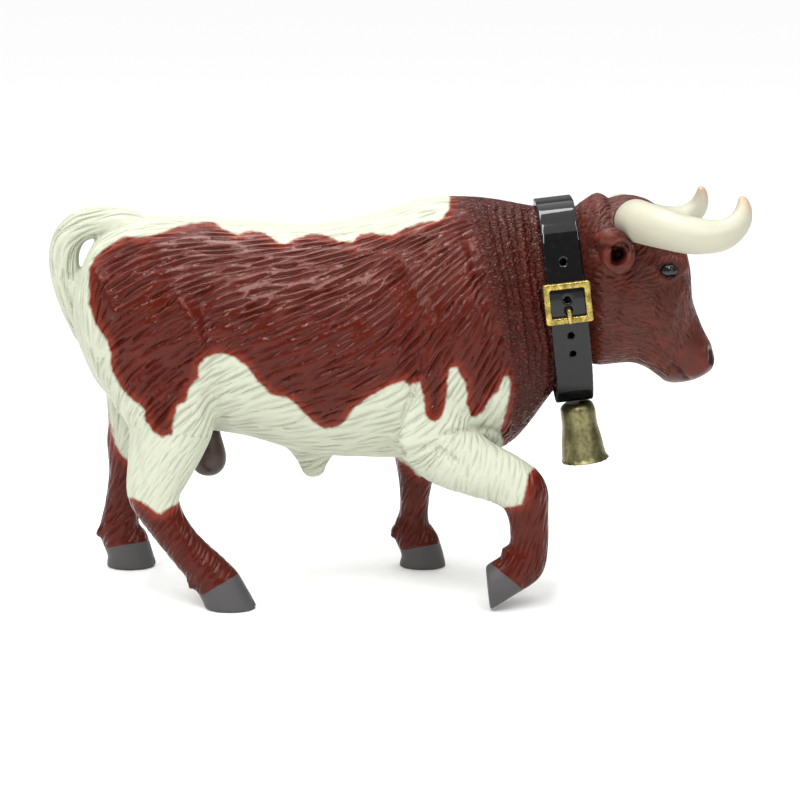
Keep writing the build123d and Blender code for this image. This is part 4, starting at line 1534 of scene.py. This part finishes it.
@dataclass(frozen=True)
class Collar:
    """The strap round the neck, with its buckle."""

    strap: Casting = Casting("collar_strap", grain=0.22, rounds=6, slot="strap")
    buckle: Casting = Casting("buckle_frame", grain=0.14, rounds=6, slot="buckle")
    prong: Casting = Casting("buckle_prong", grain=0.12, rounds=4, slot="buckle")

    def build(self) -> None:
        """Make and dress the strap, the buckle's frame and its prong."""
        self.strap.build(StrapPaint().build(), shape_strap)
        gold = GOLD.build()
        self.buckle.build(gold)
        self.prong.build(gold)


@dataclass(frozen=True)
class Bell:
    """The bell under the strap, with the pins and the clapper that are carried over as they are."""

    shell: Casting = Casting("bell_shell", grain=0.16, rounds=4, slot="bell", body="bell")
    carried: tuple[str, ...] = ("bell_pin", "clapper_pin", "bell_clapper")

    def build(self) -> None:
        """Make the shell, and dress the carried solids in steel."""
        self.shell.build(BRASS.build(), shape_bell)
        steel = STEEL.build()
        for node in self.carried:
            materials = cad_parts[node].data.materials
            materials.clear()
            materials.append(steel)
            LOG.info("%s: carried over", node)


@dataclass(frozen=True)
class Lamp:
    """A soft strip of light: its place and size in metres, and its watts."""

    name: str
    place: Triple
    size: tuple[float, float]
    power: float

    def build(self) -> None:
        """Hang it, aimed at the figure."""
        data = bpy.data.lights.new(self.name, "AREA")
        data.shape = "RECTANGLE"
        data.size, data.size_y = self.size
        data.energy = self.power
        hung = bpy.data.objects.new(self.name, data)
        hung.location = self.place
        aim = Vector(VIEW.target) * MM - Vector(self.place)
        hung.rotation_euler = aim.to_track_quat("-Z", "Y").to_euler()
        bpy.context.scene.collection.objects.link(hung)


@dataclass(frozen=True)
class Studio:
    """A pale floor, soft light from above and the sides, a sky that the camera sees white, and the camera."""

    floor_size: float = 60.0
    sky: float = 0.30
    backdrop: float = 1.0
    sun: float = 2.55
    sun_spread_deg: float = 100.0
    sun_tilt_deg: float = -6.0
    lamps: tuple[Lamp, ...] = (
        Lamp("key_strip", (-0.09, -0.56, 0.62), (0.08, 0.6), 3.2),
        Lamp("rump_strip", (-0.50, -0.38, 0.56), (0.045, 0.6), 1.8),
        Lamp("shoulder_strip", (0.22, -0.54, 0.60), (0.045, 0.6), 1.6),
        Lamp("side_strip", (0.5, -0.55, 0.35), (0.08, 0.4), 0.6),
        Lamp("back_box", (-0.03, 0.02, 0.36), (0.16, 0.08), 0.5),
    )

    def build(self) -> None:
        """Make the floor, the lights, the sky and the camera."""
        self.lay_floor()
        for lamp in self.lamps:
            lamp.build()
        self.hang_sun()
        self.paint_sky()
        bpy.context.scene.view_settings.view_transform = "Standard"
        VIEW.build()

    def lay_floor(self) -> None:
        """Make the floor, which is stage and not a piece."""
        form = bmesh.new()
        bmesh.ops.create_grid(form, x_segments=1, y_segments=1, size=self.floor_size / 2)
        mesh = bpy.data.meshes.new("floor")
        form.to_mesh(mesh)
        form.free()
        floor = new_object("floor", mesh)
        floor.data.materials.append(PALE.build())

    def hang_sun(self) -> None:
        """Make the broad soft light from above."""
        sun = bpy.data.lights.new("sky_light", "SUN")
        sun.energy = self.sun
        sun.angle = math.radians(self.sun_spread_deg)
        hung = bpy.data.objects.new("sky_light", sun)
        tilt = math.radians(self.sun_tilt_deg)
        hung.rotation_euler = (tilt, tilt, 0.0)
        bpy.context.scene.collection.objects.link(hung)

    def paint_sky(self) -> None:
        """Make a dim sky, which shows white where the camera sees it."""
        world = bpy.data.worlds.new("studio_sky")
        box = Paintbox(world)
        seen = box.node("LightPath", output="Is Camera Ray")
        level = box.node("MapRange", None, {"Value": seen, "To Min": self.sky, "To Max": self.backdrop})
        glow = box.node("Background", None, {"Color": (1, 1, 1, 1), "Strength": level})
        box.node("OutputWorld", None, {"Surface": glow})
        bpy.context.scene.world = world


def main() -> None:
    """Build every piece and the studio."""
    logging.basicConfig(level=logging.INFO, format="%(name)s %(message)s")
    Studio().build()
    Hide().build()
    Horns().build()
    Casting("scrotum", grain=0.3, rounds=15, slot="skin").build(SAC.build())
    Collar().build()
    Bell().build()


if __name__ == "__main__":
    main()
